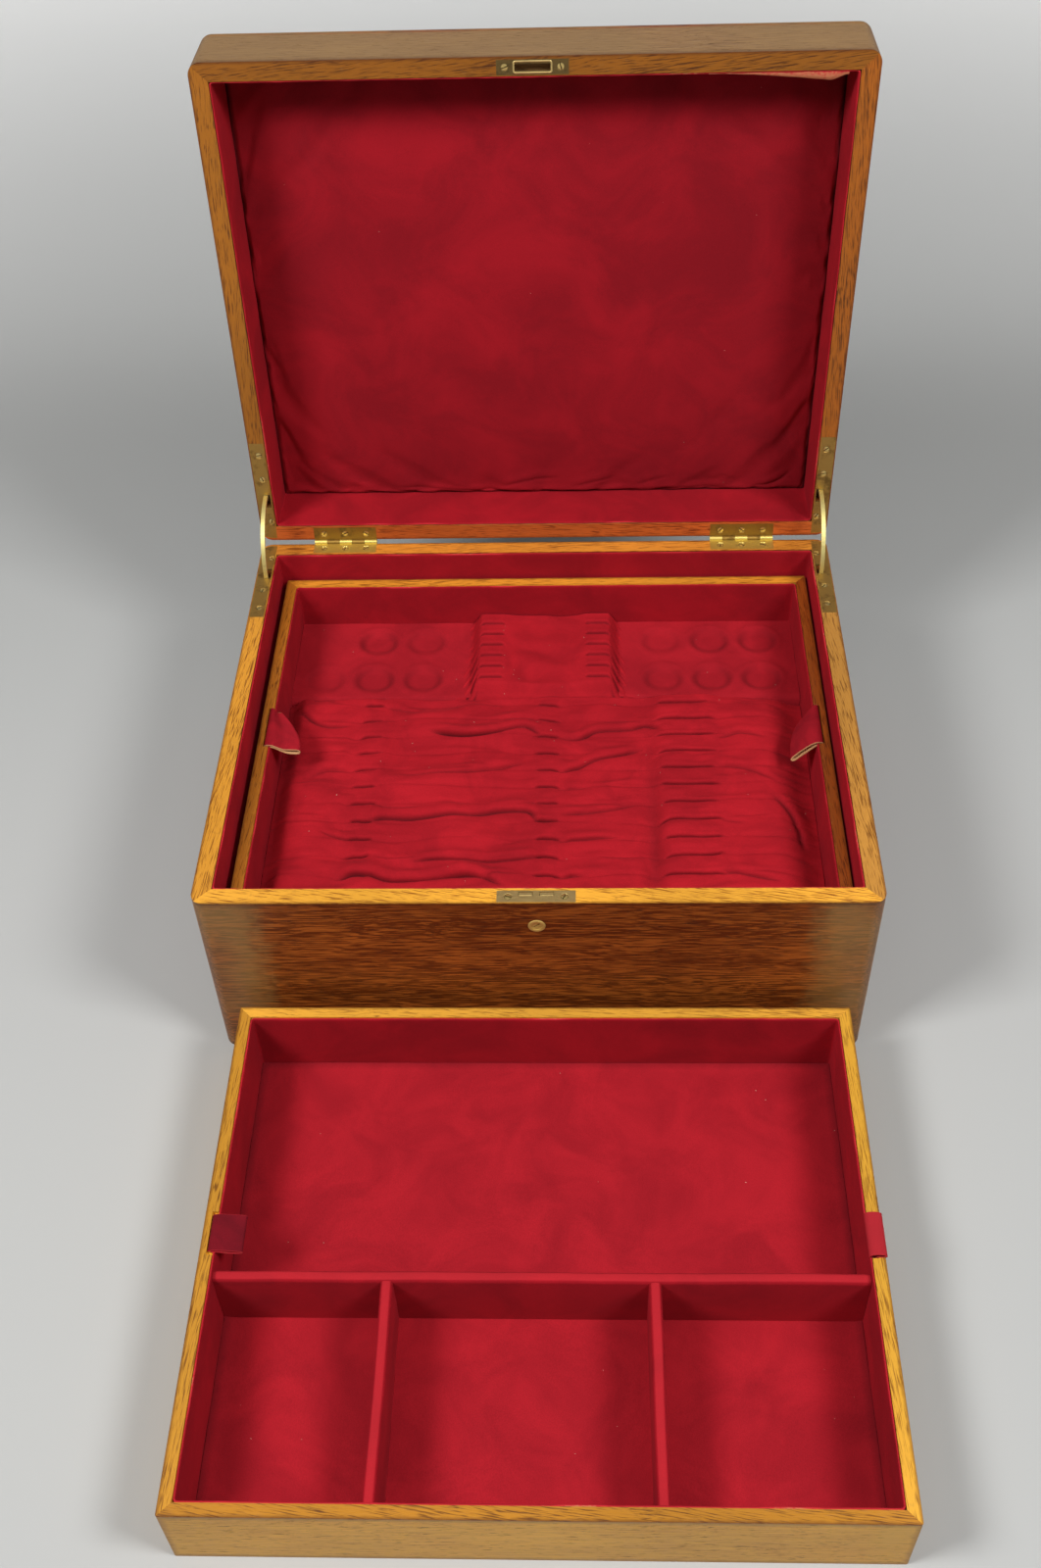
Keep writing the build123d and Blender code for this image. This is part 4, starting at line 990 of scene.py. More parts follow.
# Each dent has a soft wall, a raised rim, and a crescent of painted shade at its left and right.
dents = [(x * mm, y, share) for x, shares in dent_columns.items() for y, share in zip(dent_rows, shares)]
for dent_x, dent_y, strength in dents:
    across = np.hypot(grid_x - dent_x, (grid_y - dent_y) * 1.04)
    sideways = np.abs(grid_x - dent_x) / np.maximum(across, mm)
    soft = (5.0 + 3.5 * (1 - sideways)) * mm
    depth = dent_depth * strength
    pad_rows[:, :, 2] -= depth * fading(across, dent_radius - soft, dent_radius + 1 * mm)
    pad_rows[:, :, 2] += 0.25 * depth * bell(across - dent_radius - 2.4 * mm, 2.2 * mm)
    crescent = bell(across - dent_radius + 2.2 * mm, 3.0 * mm)
    pad_shade += 0.42 * crescent * sideways ** 1.5 * strength
front_drop = fading(grid_y, pad_low.y, pad_low.y + 4 * mm)
pad_rows[:, :, 2] -= 3 * mm * front_drop
skirt = pad_rows[:1].copy()
skirt[:, :, 2] = pad_low.z + 2 * mm
floor_pad = grid_object("dented_floor_pad", np.concatenate([skirt, pad_rows]))
pad_shade = np.concatenate([np.zeros((1, grid_x.shape[1])), pad_shade])
mark(floor_pad, "deep", pad_shade)
finish_soft(floor_pad, "lower_tray", "velvet", pad_velvet, "lower_tray_floor_pad")
print("pad with", len(dents), "dents")

# %% [markdown]
# One loose cloth covers the three racks. It is glued down into twelve narrow slots on each
# rack and puffs up between them, and the spare length gathers in long creases. A coarse
# sheet is pinned along the slots and blown up a little by the cloth simulation, which finds
# the puckers by itself. The long creases are pressed in afterwards.

# %% Cloth over the racks
racks = {place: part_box(f"rack_{place}") for place in ("left", "middle", "right")}
cloth_low, cloth_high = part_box("rack_cloth")
slot_count = 12
rack_flare, slot_end = 3 * mm, 9 * mm
rack_front = racks["left"][0].y + rack_flare + slot_end
rack_back = racks["left"][1].y - rack_flare - slot_end
slot_pitch = (rack_back - rack_front) / (slot_count - 1)
slot_rows = [rack_front + slot_pitch * k for k in range(slot_count)]
rack_half = {place: (box[1].x - box[0].x) / 2 - rack_flare for place, box in racks.items()}
rack_middle = {place: (box[1].x + box[0].x) / 2 for place, box in racks.items()}
cloth_level = cloth_high.z - 0.9 * mm

slot_offsets = [0, 0.7, 1.6, 2.8, 4.3, 6.3, slot_pitch / mm / 2]
cloth_y = [cloth_low.y, cloth_low.y + 1.5 * mm, cloth_low.y + 4 * mm]
lines = set()
for row in slot_rows:
    for offset in slot_offsets:
        lines.update((row - offset * mm, row + offset * mm))
cloth_y += [line for line in lines if cloth_low.y + 6 * mm < line < cloth_high.y - 7 * mm]
cloth_y += list(np.linspace(cloth_low.y + 6 * mm, min(lines) - 2 * mm, 4))
cloth_y += list(cloth_high.y - np.array([6.0, 4.6, 3.2, 1.8, 0.8, 0.0]) * mm)
cloth_y = np.array(sorted(cloth_y))
cloth_y = cloth_y[np.concatenate([[True], np.diff(cloth_y) > 0.3 * mm])]
cloth_x = np.linspace(cloth_low.x + 0.2 * mm, cloth_high.x - 0.2 * mm, 122)
grid_x, grid_y = np.meshgrid(cloth_x, cloth_y)


def rack_share(x, place, start, end):
    """1 up to start beyond the ends of a rack, and 0 from end on."""
    beyond = np.abs(x - rack_middle[place]) - rack_half[place]
    return fading(beyond, start, end)


def slot_line(place, row, x):
    """How far a slot strays from straight, in metres: its ends turn towards the front."""
    chance = random.Random(100 * row + len(place))
    across = (x - rack_middle[place]) / rack_half[place]
    left_turn, right_turn = {
        "left": (chance.uniform(1.5, 3.5), chance.uniform(-0.8, 1.6)),
        "middle": (chance.uniform(1.2, 2.6), chance.uniform(1.0, 2.8)),
        "right": (chance.uniform(0.3, 3.6), chance.uniform(0.0, 1.8)),
    }[place]
    begins = 0.72 if place == "right" else 0.25
    bend = left_turn * smooth_step(-across, begins, 1.5) + right_turn * smooth_step(across, begins, 1.5)
    return (chance.uniform(-0.5, 0.5) * across - bend + 0.15 * np.sin(4 * across + row)) * mm


def slot_reach(x, place, row):
    """1 along a slot, fading out at a length of its own beyond each side of the rack."""
    chance = random.Random(100 * row + 7 * len(place))
    shortest, longest = {"left": (1, 5), "middle": (1, 4), "right": (2, 9)}[place]
    tails = [chance.uniform(shortest, longest) * mm for _ in range(2)]
    across = x - rack_middle[place]
    tail = np.where(across < 0, tails[0], tails[1])
    return fading((np.abs(across) - rack_half[place] + 2 * mm) / (tail + 2 * mm), 0, 1)


# The cloth rises over each rack, dips beside the right one and falls along its own edges.
base = np.full_like(grid_x, cloth_level)
for place, box in racks.items():
    lift = box[1].z + 0.7 * mm - cloth_level
    base += 0.8 * lift * rack_share(grid_x, place, -6 * mm, 18 * mm)
foot = rack_middle["right"] - rack_half["right"] - 10 * mm
towards_back = smooth_step(grid_y, -90 * mm, 20 * mm)
base -= 3.8 * mm * bell(grid_x - foot, 7 * mm) * (1 - 0.7 * towards_back)
base -= 9 * mm * fading(grid_x - cloth_low.x, 0, 15 * mm)
base -= 11 * mm * fading(cloth_high.x - grid_x, 0, 34 * mm)
base -= 4 * mm * fading(grid_y - cloth_low.y, 0, 6 * mm)
back_edge = smooth_step(grid_y, cloth_high.y - 6.5 * mm, cloth_high.y)
base -= 6.8 * mm * back_edge ** 2
# The slots hold it down, and it is free to puff up between them.
pinned = np.zeros_like(grid_x)
puff = np.ones_like(grid_x)
for place in racks:
    reach = rack_share(grid_x, place, -5 * mm, 5 * mm)
    for row in slot_rows:
        off = np.abs(grid_y - row)
        pinned = np.maximum(pinned, (off < 0.9 * mm) * reach ** 2)
        puff = np.minimum(puff, 1 - reach * bell(off, 4.2 * mm))
sheet_points = over(grid_x, grid_y, base - 1.8 * mm * (1 - puff))
sheet_points[:, :, 2] += 0.9 * mm * ripple(sheet_points * (1, 2.2, 0), 46 * mm, 70) * puff
border = (grid_x < cloth_x[2]) | (grid_x > cloth_x[-3]) | (grid_y < cloth_y[2]) | (grid_y > cloth_y[-3])
pinned = np.maximum(pinned, border.astype(float))
rack_velvet = grid_object("rack_velvet", sheet_points)
print("cloth of", len(rack_velvet.data.vertices), "points,", int((pinned > 0.5).sum()), "pinned")

# %% Blow the cloth up
def run_cloth(piece, pins, frames, cap, pressure, slack, bending):
    """Run Blender's cloth on a piece, keep the result, and let no point move beyond a cap."""
    start = np.array([v.co for v in piece.data.vertices])
    group = piece.vertex_groups.new(name="pins")
    weights = np.asarray(pins, float).reshape(-1)
    for index in np.flatnonzero(weights > 0.02):
        group.add([int(index)], float(weights[index]), "REPLACE")
    modifier = piece.modifiers.new("cloth", "CLOTH")
    cloth = modifier.settings
    cloth.quality = 6
    cloth.mass = 0.15
    cloth.tension_stiffness = cloth.compression_stiffness = 12
    cloth.shear_stiffness = 6
    cloth.bending_stiffness = bending
    cloth.use_pressure = True
    cloth.uniform_pressure_force = pressure
    cloth.shrink_min = -slack
    cloth.effector_weights.gravity = 0
    cloth.vertex_group_mass = "pins"
    modifier.collision_settings.use_collision = False
    modifier.collision_settings.use_self_collision = False
    modifier.point_cache.frame_start = 1
    modifier.point_cache.frame_end = frames
    scene = bpy.context.scene
    scene.frame_start, scene.frame_end = 1, frames
    for frame_number in range(1, frames + 1):
        scene.frame_set(frame_number)
    shaped = piece.evaluated_get(bpy.context.evaluated_depsgraph_get())
    result = np.array([v.co for v in shaped.data.vertices])
    piece.modifiers.remove(modifier)
    scene.frame_set(1)
    moved = result - start
    far = np.linalg.norm(moved, axis=1)
    share = np.minimum(1, cap / np.maximum(far, 1e-9))
    mean, most = (round(float(value) / mm, 2) for value in (far.mean(), far.max()))
    print(piece.name, "moved", mean, "mm, at most", most)
    return start + moved * share[:, None]


blown = run_cloth(rack_velvet, pinned, frames=22, cap=2.6 * mm, pressure=0.6, slack=0.03, bending=0.3)
swelling = blown.reshape(sheet_points.shape) - sheet_points
for _ in range(4):
    swelling[:, 1:-1] = (swelling[:, :-2] + 2 * swelling[:, 1:-1] + swelling[:, 2:]) / 4
sheet_points = sheet_points + swelling
bpy.data.objects.remove(rack_velvet)

# %% Press in the slots and the long creases
# Each crease is its line in mm from the chest's middle, its depth and its width in mm.
creases = [
    ([(-123, 58), (-108, 55), (-92, 50)], 1.8, 2.6),
    ([(-86, 29), (-68, 25), (-52, 24), (-34, 27), (-18, 32), (-8, 30), (0, 25)], 3.6, 3.2),
    ([(-104, -17), (-58, -16), (-31, -10), (-13, -4)], 1.6, 3.6),
    ([(-124, -48), (-110, -50), (-90, -50)], 1.6, 2.6),
    ([(-128, -64), (-112, -60), (-90, -60), (-56, -58), (-20, -52), (0, -60)], 3.2, 4.2),
    ([(-160, -76), (-148, -80), (-133, -83)], 2.2, 2.6),
    ([(-92, -103), (-67, -101), (-22, -103), (0, -98)], 2.6, 3.0),
    ([(-144, -116), (-122, -115), (-104, -120), (-72, -118), (-52, -114), (-38, -121), (-26, -129)],
     4.2, 3.8),
    ([(-192, 54), (-170, 38), (-148, 38)], 2.4, 3.4),
    ([(-158, 60), (-170, 66), (-186, 68)], 1.4, 3.6),
    ([(15, 23), (28, 21), (43, 30), (67, 33), (80, 37), (91, 30)], 3.0, 3.2),
    ([(13, -12), (28, -9), (42, 1), (62, 6), (76, 11)], 2.8, 3.4),
    ([(12, -31), (36, -30)], 1.4, 2.8),
    ([(16, -58), (45, -54), (70, -47)], 2.2, 3.0),
    ([(-12, -52), (-2, -64), (6, -66)], 1.8, 2.6),
    ([(12, -84), (33, -81), (58, -79)], 2.0, 3.0),
    ([(12, -118), (35, -114)], 2.0, 2.8),
    ([(129, -113), (153, -121), (170, -125)], 2.4, 3.4),
    ([(131, -10), (152, -14), (176, -28)], 1.4, 3.6),
    ([(130, -65), (150, -70)], 1.4, 3.0),
    ([(130, 18), (150, 24), (172, 20)], 1.3, 3.6),
    ([(-176, -20), (-160, -12), (-142, -13)], 1.2, 4.0),
    ([(170, -40), (184, -62), (190, -92)], 2.2, 4.5),
]


def distances_to(line, points):
    """Distance to a line of points in the plane, the side that it lies on, and the way along."""
    best = np.full(points.shape[:-1], 1e9)
    side = np.zeros_like(best)
    travel = np.zeros_like(best)
    before = 0.0
    for start, end in zip(line[:-1], line[1:]):
        length = float(np.linalg.norm(end - start))
        step = (end - start) / length
        away = points[..., :2] - start
        along = np.clip(away @ step, 0, length)
        offset = away - along[..., None] * step
        distance = np.linalg.norm(offset, axis=-1)
        nearer = distance < best
        best = np.where(nearer, distance, best)
        side = np.where(nearer, offset[..., 1], side)
        travel = np.where(nearer, before + along, travel)
        before += length
    return best, np.sign(side), travel, before


def press_crease(points, shade, where, line, depth, width):
    """A fold along a line given in mm: a narrow valley darkened by painted shade, and behind it a ridge
    leaning over it.
    """
    best, side, travel, total = distances_to(smooth_path(line, 5 * len(line)) * mm, where)
    fade = smooth_step(travel, -3 * mm, 14 * mm)
    fade = fade * fading(travel, total - 14 * mm, total + 3 * mm)
    signed = best * side
    valley = bell(signed, 0.42 * width * mm)
    behind = bell(signed - 1.35 * width * mm, 1.15 * width * mm)
    before = bell(signed + 2.0 * width * mm, 1.6 * width * mm)
    points[..., 2] += (0.75 * behind + 0.25 * before - valley) * depth * mm * fade
    lean = bell(signed - 0.5 * width * mm, 0.8 * width * mm)
    points[..., 1] -= 0.45 * depth * mm * lean * fade
    shade += bell(signed + 0.1 * width * mm, 0.5 * width * mm) * fade * min(1, depth / 3.2)


cloth_grid = finer(sheet_points)
flat_grid = finer(over(grid_x, grid_y))
flat_x, flat_y = flat_grid[..., 0], flat_grid[..., 1]
cloth_shade = np.zeros_like(flat_x)
# Each slot is a groove with a soft shoulder behind it, darkened along the groove by painted shade.
for place in racks:
    for number, row in enumerate(slot_rows):
        reach = slot_reach(flat_x, place, number)
        strays = slot_line(place, number, flat_x)
        near = bell(flat_y - row, 6 * mm)
        cloth_grid[..., 1] += strays * near * rack_share(flat_x, place, 4 * mm, 13 * mm)
        off = flat_y - row
        groove = bell(off, 0.85 * mm) * reach
        shoulder = bell(off - 2.4 * mm, 1.9 * mm) * reach
        cloth_grid[..., 2] += 0.8 * mm * shoulder - 5.0 * mm * groove
        cloth_grid[..., 1] -= 0.7 * mm * bell(off - 1.0 * mm, 1.0 * mm) * reach
        cloth_shade = np.maximum(cloth_shade, bell(off, 1.05 * mm) * reach)
# Between the racks the slots run on as weak puckers that come and go, with painted shade in their valleys.
for number, row in enumerate(slot_rows):
    along_row = over(flat_x, flat_x * 0 + 0.1 * number)
    chance = 0.5 + 0.5 * ripple(along_row, 38 * mm, 81)
    level = flat_y - row - 2.0 * mm * ripple(along_row, 55 * mm, 83)
    away = 1 - 0.7 * sum(rack_share(flat_x, place, -2 * mm, 6 * mm) for place in racks)
    valley = bell(level, 1.7 * mm) * chance ** 1.5 * away
    cloth_grid[..., 2] += 0.8 * mm * bell(level - 4.2 * mm, 3.4 * mm) * chance * away
    cloth_grid[..., 2] -= 1.5 * mm * valley
    cloth_shade += 0.16 * valley
where = flat_grid.copy()
where[..., 1] += 0.9 * mm * ripple(flat_grid, 30 * mm, 77)
for line, depth, width in creases:
    press_crease(cloth_grid, cloth_shade, where, line, depth, width)
# Painted shade: a dark band down the dip beside the right rack and along the cloth's left edge.
dip = bell(flat_x - foot, 5 * mm) * (1 - 0.8 * smooth_step(flat_y, -90 * mm, 20 * mm))
cloth_shade += 0.28 * dip + 0.3 * fading(flat_x - cloth_low.x, 0, 10 * mm)
rack_velvet = grid_object("rack_velvet", cloth_grid)
mark(rack_velvet, "deep", np.clip(cloth_shade, 0, 1))
rack_nodes = [f"rack_{place}" for place in racks]
finish_soft(rack_velvet, "lower_tray", "velvet", cloth_velvet, *rack_nodes, "rack_cloth")

# %% [markdown]
# The two teaspoon racks behind share a cloth of their own. It is stretched from one rack to
# the other, hangs down their outer sides in slanting folds, and runs in under the large
# cloth in front.

# %% Cloth over the teaspoon racks
spoon_low, spoon_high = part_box("teaspoon_racks")
spoon_width, spoon_pitch = 22.3 * mm, 12.9 * mm
spoon_centres = (spoon_low.x + spoon_width / 2, spoon_high.x - spoon_width / 2)
spoon_rows = [spoon_high.y - 11 * mm - spoon_pitch * k for k in range(6)]
spoon_x = np.linspace(spoon_centres[0] - 30 * mm, spoon_centres[1] + 32 * mm, 176)
spoon_y = np.linspace(cloth_high.y - 3 * mm, spoon_high.y, 116)
grid_x, grid_y = np.meshgrid(spoon_x, spoon_y)
pad_level = pad_high.z - 0.8 * mm
middle_x = sum(spoon_centres) / 2
spoon_shade = np.zeros_like(grid_x)
height = np.full_like(grid_x, pad_level)
top = spoon_high.z + 0.3 * mm
gap_half = (spoon_centres[1] - spoon_centres[0] - spoon_width) / 2 + 2 * mm
sag = np.clip(1 - ((grid_x - middle_x) / gap_half) ** 2, 0, 1)
uneven = ripple(over(grid_x, grid_y), 22 * mm, 91)
waves = np.sin((grid_y + 0.3 * (grid_x - middle_x)) / (4.4 * mm) + 1.6 * uneven)
hung = top - (3.4 + 0.9 * waves + 0.8 * uneven) * sag * mm
# Over each rack the cloth lies in the slots and hangs in folds down the outer side; painted shade darkens
# the fold hollows and the slots.
for hand, centre in zip((-1, 1), spoon_centres):
    across = (grid_x - centre) * hand
    half = spoon_width / 2 - 1.6 * mm
    slant = (grid_y + 1.9 * across - spoon_rows[0]) / spoon_pitch * 2 * math.pi
    folds = 0.5 + 0.5 * np.cos(slant + 2.2 * ripple(over(grid_x, grid_y), 26 * mm, 93))
    outer = fading(across, half - 1.5 * mm, half + 7.5 * mm)
    skirt_share = smooth_step(across, half - 1 * mm, half + 4 * mm)
    skirt_share = skirt_share * fading(across, half + 7 * mm, half + 16 * mm)
    own_side = (grid_x - middle_x) * hand >= 0
    height = np.where(own_side, pad_level + (hung - pad_level) * outer, height)
    strength = 1 - 0.75 * smooth_step(grid_y, spoon_rows[-1], spoon_rows[1])
    height += skirt_share * (0.4 + 2.4 * folds * strength) * mm
    spoon_shade += skirt_share * (1 - folds) ** 4 * 0.9 * strength
    bend = 2.6 * mm * smooth_step(across, 0.55 * half, 1.3 * half)
    bend += 1.2 * mm * smooth_step(-across, 0.7 * half, 1.4 * half)
    reach = fading(np.abs(across) - half, -1.8 * mm, 1.0 * mm)
    for row in spoon_rows:
        off = grid_y - row + bend
        height -= 4.0 * mm * bell(off, 0.9 * mm) * reach
        height += 0.5 * mm * bell(off - 3.0 * mm, 2.6 * mm) * reach
        spoon_shade = np.maximum(spoon_shade, bell(off, 1.0 * mm) * reach)
outside = np.minimum(grid_x - spoon_x[0], spoon_x[-1] - grid_x)
front_end = smooth_step(grid_y, cloth_high.y + 1.0 * mm, cloth_high.y + 11 * mm)
height = pad_level + (height - pad_level) * (0.25 + 0.75 * front_end)
height = pad_level - 1.5 * mm + (height - pad_level + 1.5 * mm) * smooth_step(outside, 0, 6 * mm)
spoon_velvet = grid_object("teaspoon_velvet", over(grid_x, grid_y, height))
mark(spoon_velvet, "deep", np.clip(spoon_shade, 0, 1))
finish_soft(spoon_velvet, "lower_tray", "velvet", cloth_velvet, "teaspoon_racks")
print("teaspoon cloth of", len(spoon_velvet.data.vertices), "points")

# %% [markdown]
# The lid holds a board padded with wadding under tight velvet. Its border is tucked in
# behind the wall linings, darkened there by painted shade, and a few weak creases run from the
# border where the cloth was pulled.

# %% Padded panel in the lid
pad_gap = 0.3 * mm
pad_half_x = chest_half_x - wall_thickness - pad_gap
pad_half_y = chest_half_y - wall_thickness - pad_gap


def crowded(count):
    """Shares from -1 to 1 that stand closer together towards both ends."""
    return np.sin(np.linspace(-1, 1, count) * math.pi / 2 * 0.97) / math.sin(math.pi / 2 * 0.97)


share_x, share_y = crowded(104), crowded(88)
grid_x, grid_y = np.meshgrid(share_x * pad_half_x, share_y * pad_half_y)
border = np.minimum(pad_half_x - np.abs(grid_x), pad_half_y - np.abs(grid_y))
crown = (1 - share_x[None, :] ** 4) * (1 - share_y[:, None] ** 4)
height = -0.6 * mm + 4.2 * mm * np.sqrt(np.clip(border / (5.0 * mm), 0, 1)) + 2.8 * mm * crown
lid_points = over(grid_x, grid_y, height)
swell = 0.35 * ripple(lid_points, 80 * mm, 100) + 0.2 * ripple(lid_points, 26 * mm, 101)
lid_points[..., 2] += swell * mm
lid_pins = border < 1.2 * mm
trial = grid_object("lid_padding", lid_points)
blown = run_cloth(trial, lid_pins, frames=12, cap=1.2 * mm, pressure=0.4, slack=0.006, bending=0.8)
lid_points = blown.reshape(lid_points.shape)
bpy.data.objects.remove(trial)
lid_points = finer(lid_points)
pad_place = finer(over(grid_x, grid_y))
lid_shade = np.zeros(lid_points.shape[:2])
pad_creases = [
    ([(-38, -170), (-12, -163), (14, -160)], 0.7, 3.0), ([(22, -171), (44, -164), (60, -161)], 0.7, 2.8),
    ([(74, -170), (92, -163), (104, -160)], 0.6, 2.6), ([(168, -172), (190, -168), (204, -156)], 1.0, 3.0),
    ([(-60, -169), (-80, -166)], 0.4, 3.0), ([(108, -112), (114, -118)], 0.8, 4.0),
    ([(-120, -168), (-60, -172), (30, -174), (150, -172)], 0.5, 2.2),
]
for line, depth, width in pad_creases:
    press_crease(lid_points, lid_shade, pad_place, line, depth, width)
border = np.minimum(pad_half_x - np.abs(pad_place[..., 0]), pad_half_y - np.abs(pad_place[..., 1]))
# Painted shade: the pad is darker where it is tucked in, towards the right, and in a band at the lock side,
# as under the shadows of the lid's walls and rim.
lid_shade = 0.55 * lid_shade + 0.95 * fading(border, 1.0 * mm, 5.0 * mm)
lid_shade += 0.16 * smooth_step(pad_place[..., 0], 40 * mm, pad_half_x)
lid_shade += 0.22 * smooth_step(pad_place[..., 1], pad_half_y - 46 * mm, pad_half_y - 20 * mm)
lid_padding = grid_object("lid_velvet_pad", placed(lid_points, lid_inside))
mark(lid_padding, "deep", np.clip(lid_shade, 0, 1))
finish_soft(lid_padding, "lid", "velvet", lid_velvet, "lid_pad")
facing = sum((face.normal * face.area for face in lid_padding.data.polygons), Vector()).normalized()
print("lid pad faces", tuple(round(v, 2) for v in facing))

# %% [markdown]
# At the lock side of the lid the lining has come unstuck near one corner, and its pale back
# shows where it curls over.

# %% Loose corner of the lid's lining
flap_start, flap_end = 116 * mm, 208 * mm
flap_inset, flap_curl = 13.4 * mm, 1.45
flap_x = np.linspace(flap_start, flap_end, 60)
flap_t = np.linspace(0, 1, 14)
share = (flap_x - flap_start) / (flap_end - flap_start)
drop = (0.8 + 8.4 * share ** 1.7 * (1 - smooth_step(share, 0.86, 1.0) * 0.75)) * mm
flap_rows = np.zeros((len(flap_t), len(flap_x), 3))
for row, t in enumerate(flap_t):
    flap_rows[row, :, 0] = flap_x
    flap_rows[row, :, 1] = chest_half_y - flap_inset - drop * math.sin(t * flap_curl)
    flap_rows[row, :, 2] = lid_ring_depth - 0.2 * mm - drop * 0.55 * (1 - math.cos(t * flap_curl))
flap_rows += 0.35 * mm * ripple(flap_rows, 9 * mm, 120)[..., None] * flap_t[:, None, None]
flap = grid_object("loose_lid_lining", placed(flap_rows, lid_inside))
mark(flap, "bare", 0.62 + 0.3 * np.broadcast_to(flap_t[:, None], flap_rows.shape[:2]))
finish_soft(flap, "lid", "velvet", wall_velvet)

# %% [markdown]
# The pull tabs are loops of ribbon fixed in the rim. Each is drawn as a side view of the
# ribbon, given its thickness, and carried along the ribbon's width. Years in the tray have
# set them in different curves: the lower ones droop inwards in an S, and one of the upper
# ones has been pushed back over the rim. Where that one lies on the rim, it stays there.

# %% Pull tabs
def ribbon_loop(tray, side, view, reach, growth, width, backing, lowest, finish, seed, lies=None):
    """A ribbon loop for one tab. view is its side view in mm from the root, reach its share at
    the back and the front, and growth how soon it reaches out from the back. With lies, two
    places in mm from the root, the ribbon stays where it is and does not turn with the tab;
    the places themselves are not used."""
    hand = 1 if side == "right" else -1
    joint = joint_of[f"{tray}_tray_tab_{side}_flip"]["pos_m"]
    line = smooth_path(view, 46) * mm
    along = np.gradient(line, axis=0)
    along /= np.linalg.norm(along, axis=1)[:, None]
    normal = np.stack([-along[:, 1], along[:, 0]], -1)
    half_thick = 0.42 * mm
    section = np.concatenate([line + normal * half_thick, (line - normal * half_thick)[::-1]])
    spread = (np.cos(np.linspace(math.pi, 0, 26)) + 1) / 2
    spread = np.sort(np.concatenate([spread, [0.006, 0.994]]))
    rows = np.zeros((len(spread), len(section), 3))
    for row, t in enumerate(spread):
        stretch = reach[0] + (reach[1] - reach[0]) * math.sin(math.pi / 2 * (1 - t)) ** growth
        inward = section[:, 0] * np.where(section[:, 0] > 0, stretch, 1)
        rows[row, :, 0] = joint[0] - hand * inward
        rows[row, :, 1] = joint[1] + (t - 0.5) * width
        rows[row, :, 2] = joint[2] + section[:, 1]
    sway = ripple(rows * (1, 1, 0.3), 14 * mm, seed) * 0.35 * mm
    rows[..., 2] += sway * np.clip(np.abs(section[:, 0]) / (10 * mm), 0, 1)[None, :]
    rows[..., 2] = np.maximum(rows[..., 2], joint[2] - lowest)
    piece = grid_object(f"{tray}_{side}_ribbon_tab", rows, closed=True)
    # Caps close the band's two sides, between its outer and its inner face.
    count = len(section)
    caps = bmesh.new()
    caps.from_mesh(piece.data)
    caps.verts.ensure_lookup_table()
    for start, order in ((0, 1), ((len(spread) - 1) * count, -1)):
        for k in range(count // 2 - 1):
            corners = [start + k, start + k + 1, start + count - 2 - k, start + count - 1 - k]
            caps.faces.new([caps.verts[i] for i in corners[::order]]).smooth = False
    bmesh.ops.recalc_face_normals(caps, faces=caps.faces)
    caps.to_mesh(piece.data)
    caps.free()
    bare = np.zeros(rows.shape[:2])
    bare[:, count // 2:] = backing
    fringe = 0.9 if backing > 0.5 else 0.45
    for end in (slice(None, 2), slice(-2, None)):
        bare[end] = np.maximum(bare[end], fringe)
    mark(piece, "bare", bare)
    held = lies and (f"{tray}_tray", *[(joint[0] - hand * x * mm, joint[1], joint[2]) for x in lies])
    finish_soft(piece, f"{tray}_tray_tab_{side}", "ribbon", finish, f"{tray}_tray_tab_{side}", held=held)


lower_view = [
    (-0.9, 0.4), (1.2, 1.2), (5, 0.9), (9, -1.4), (13, -3.4), (18, -3.7), (22.5, -3.9), (24.4, -4.6),
    (24.9, -6.0), (24.2, -7.3), (22, -7.9), (16, -7.3), (11.5, -5.2), (8.0, -2.6), (4, -0.7), (0.8, -1.0),
]
steep_view = [
    (-0.9, 0.4), (1.2, 1.2), (5, 0.6), (9, -1.8), (13, -5.5), (17, -9.5), (20, -13), (21.5, -15.2),
    (21.8, -16.8), (20.8, -17.6), (19, -17.2), (15.5, -13.5), (11, -9), (7, -5), (3.5, -1.8), (0.8, -1.0),
]
flat_view = [
    (-0.9, 0.4), (1.2, 1.3), (6, 1.4), (12, 1.0), (17, 0.3), (19.3, -0.2), (20.0, -1.1), (19.2, -2.0),
    (16, -2.2), (11, -1.9), (6, -0.9), (2.5, -0.7), (0.4, -1.0),
]
pushed_view = [
    (0.9, -1.0), (2.4, -0.6), (3.6, 0.9), (3.2, 2.6), (1.0, 3.9), (-2.4, 4.2), (-5.2, 3.6), (-6.6, 2.4),
    (-6.4, 1.5), (-4.4, 1.15), (-2.4, 1.1), (-1.3, 0.9), (-0.6, 0.2), (0.0, -0.9),
]
# Each tab is its tray, side, side view, reach, growth, width, how bare its back is, how far it
# may hang, its material, a seed, and lies if it lies on the rim.
tabs = [
    ("lower", "left", lower_view, (0.30, 1.0), 0.9, 40 * mm, 0.95, 12 * mm, ribbon_velvet, 130.0),
    ("lower", "right", steep_view, (0.35, 0.96), 0.45, 40 * mm, 0.95, 18 * mm, ribbon_velvet, 133.0),
    ("upper", "left", flat_view, (1.0, 1.0), 0.9, 25 * mm, 0.2, 12 * mm, dark_ribbon, 136.0),
    ("upper", "right", pushed_view, (1.0, 1.0), 0.9, 29 * mm, 0.2, 12 * mm, dark_ribbon, 139.0, (-1.0, 3.0)),
]
for tab in tabs:
    ribbon_loop(*tab)

# %% [markdown]
# Twenty-eight wood screws hold the hinges, the stays and the lock. They are all alike, so
# Geometry Nodes make one slotted, slightly domed head and set a copy on each place, turned
# at random as a hand leaves them. Each is sunk until its crown is flush, so that the lid can
# shut. The places are read from the frame's own screws.

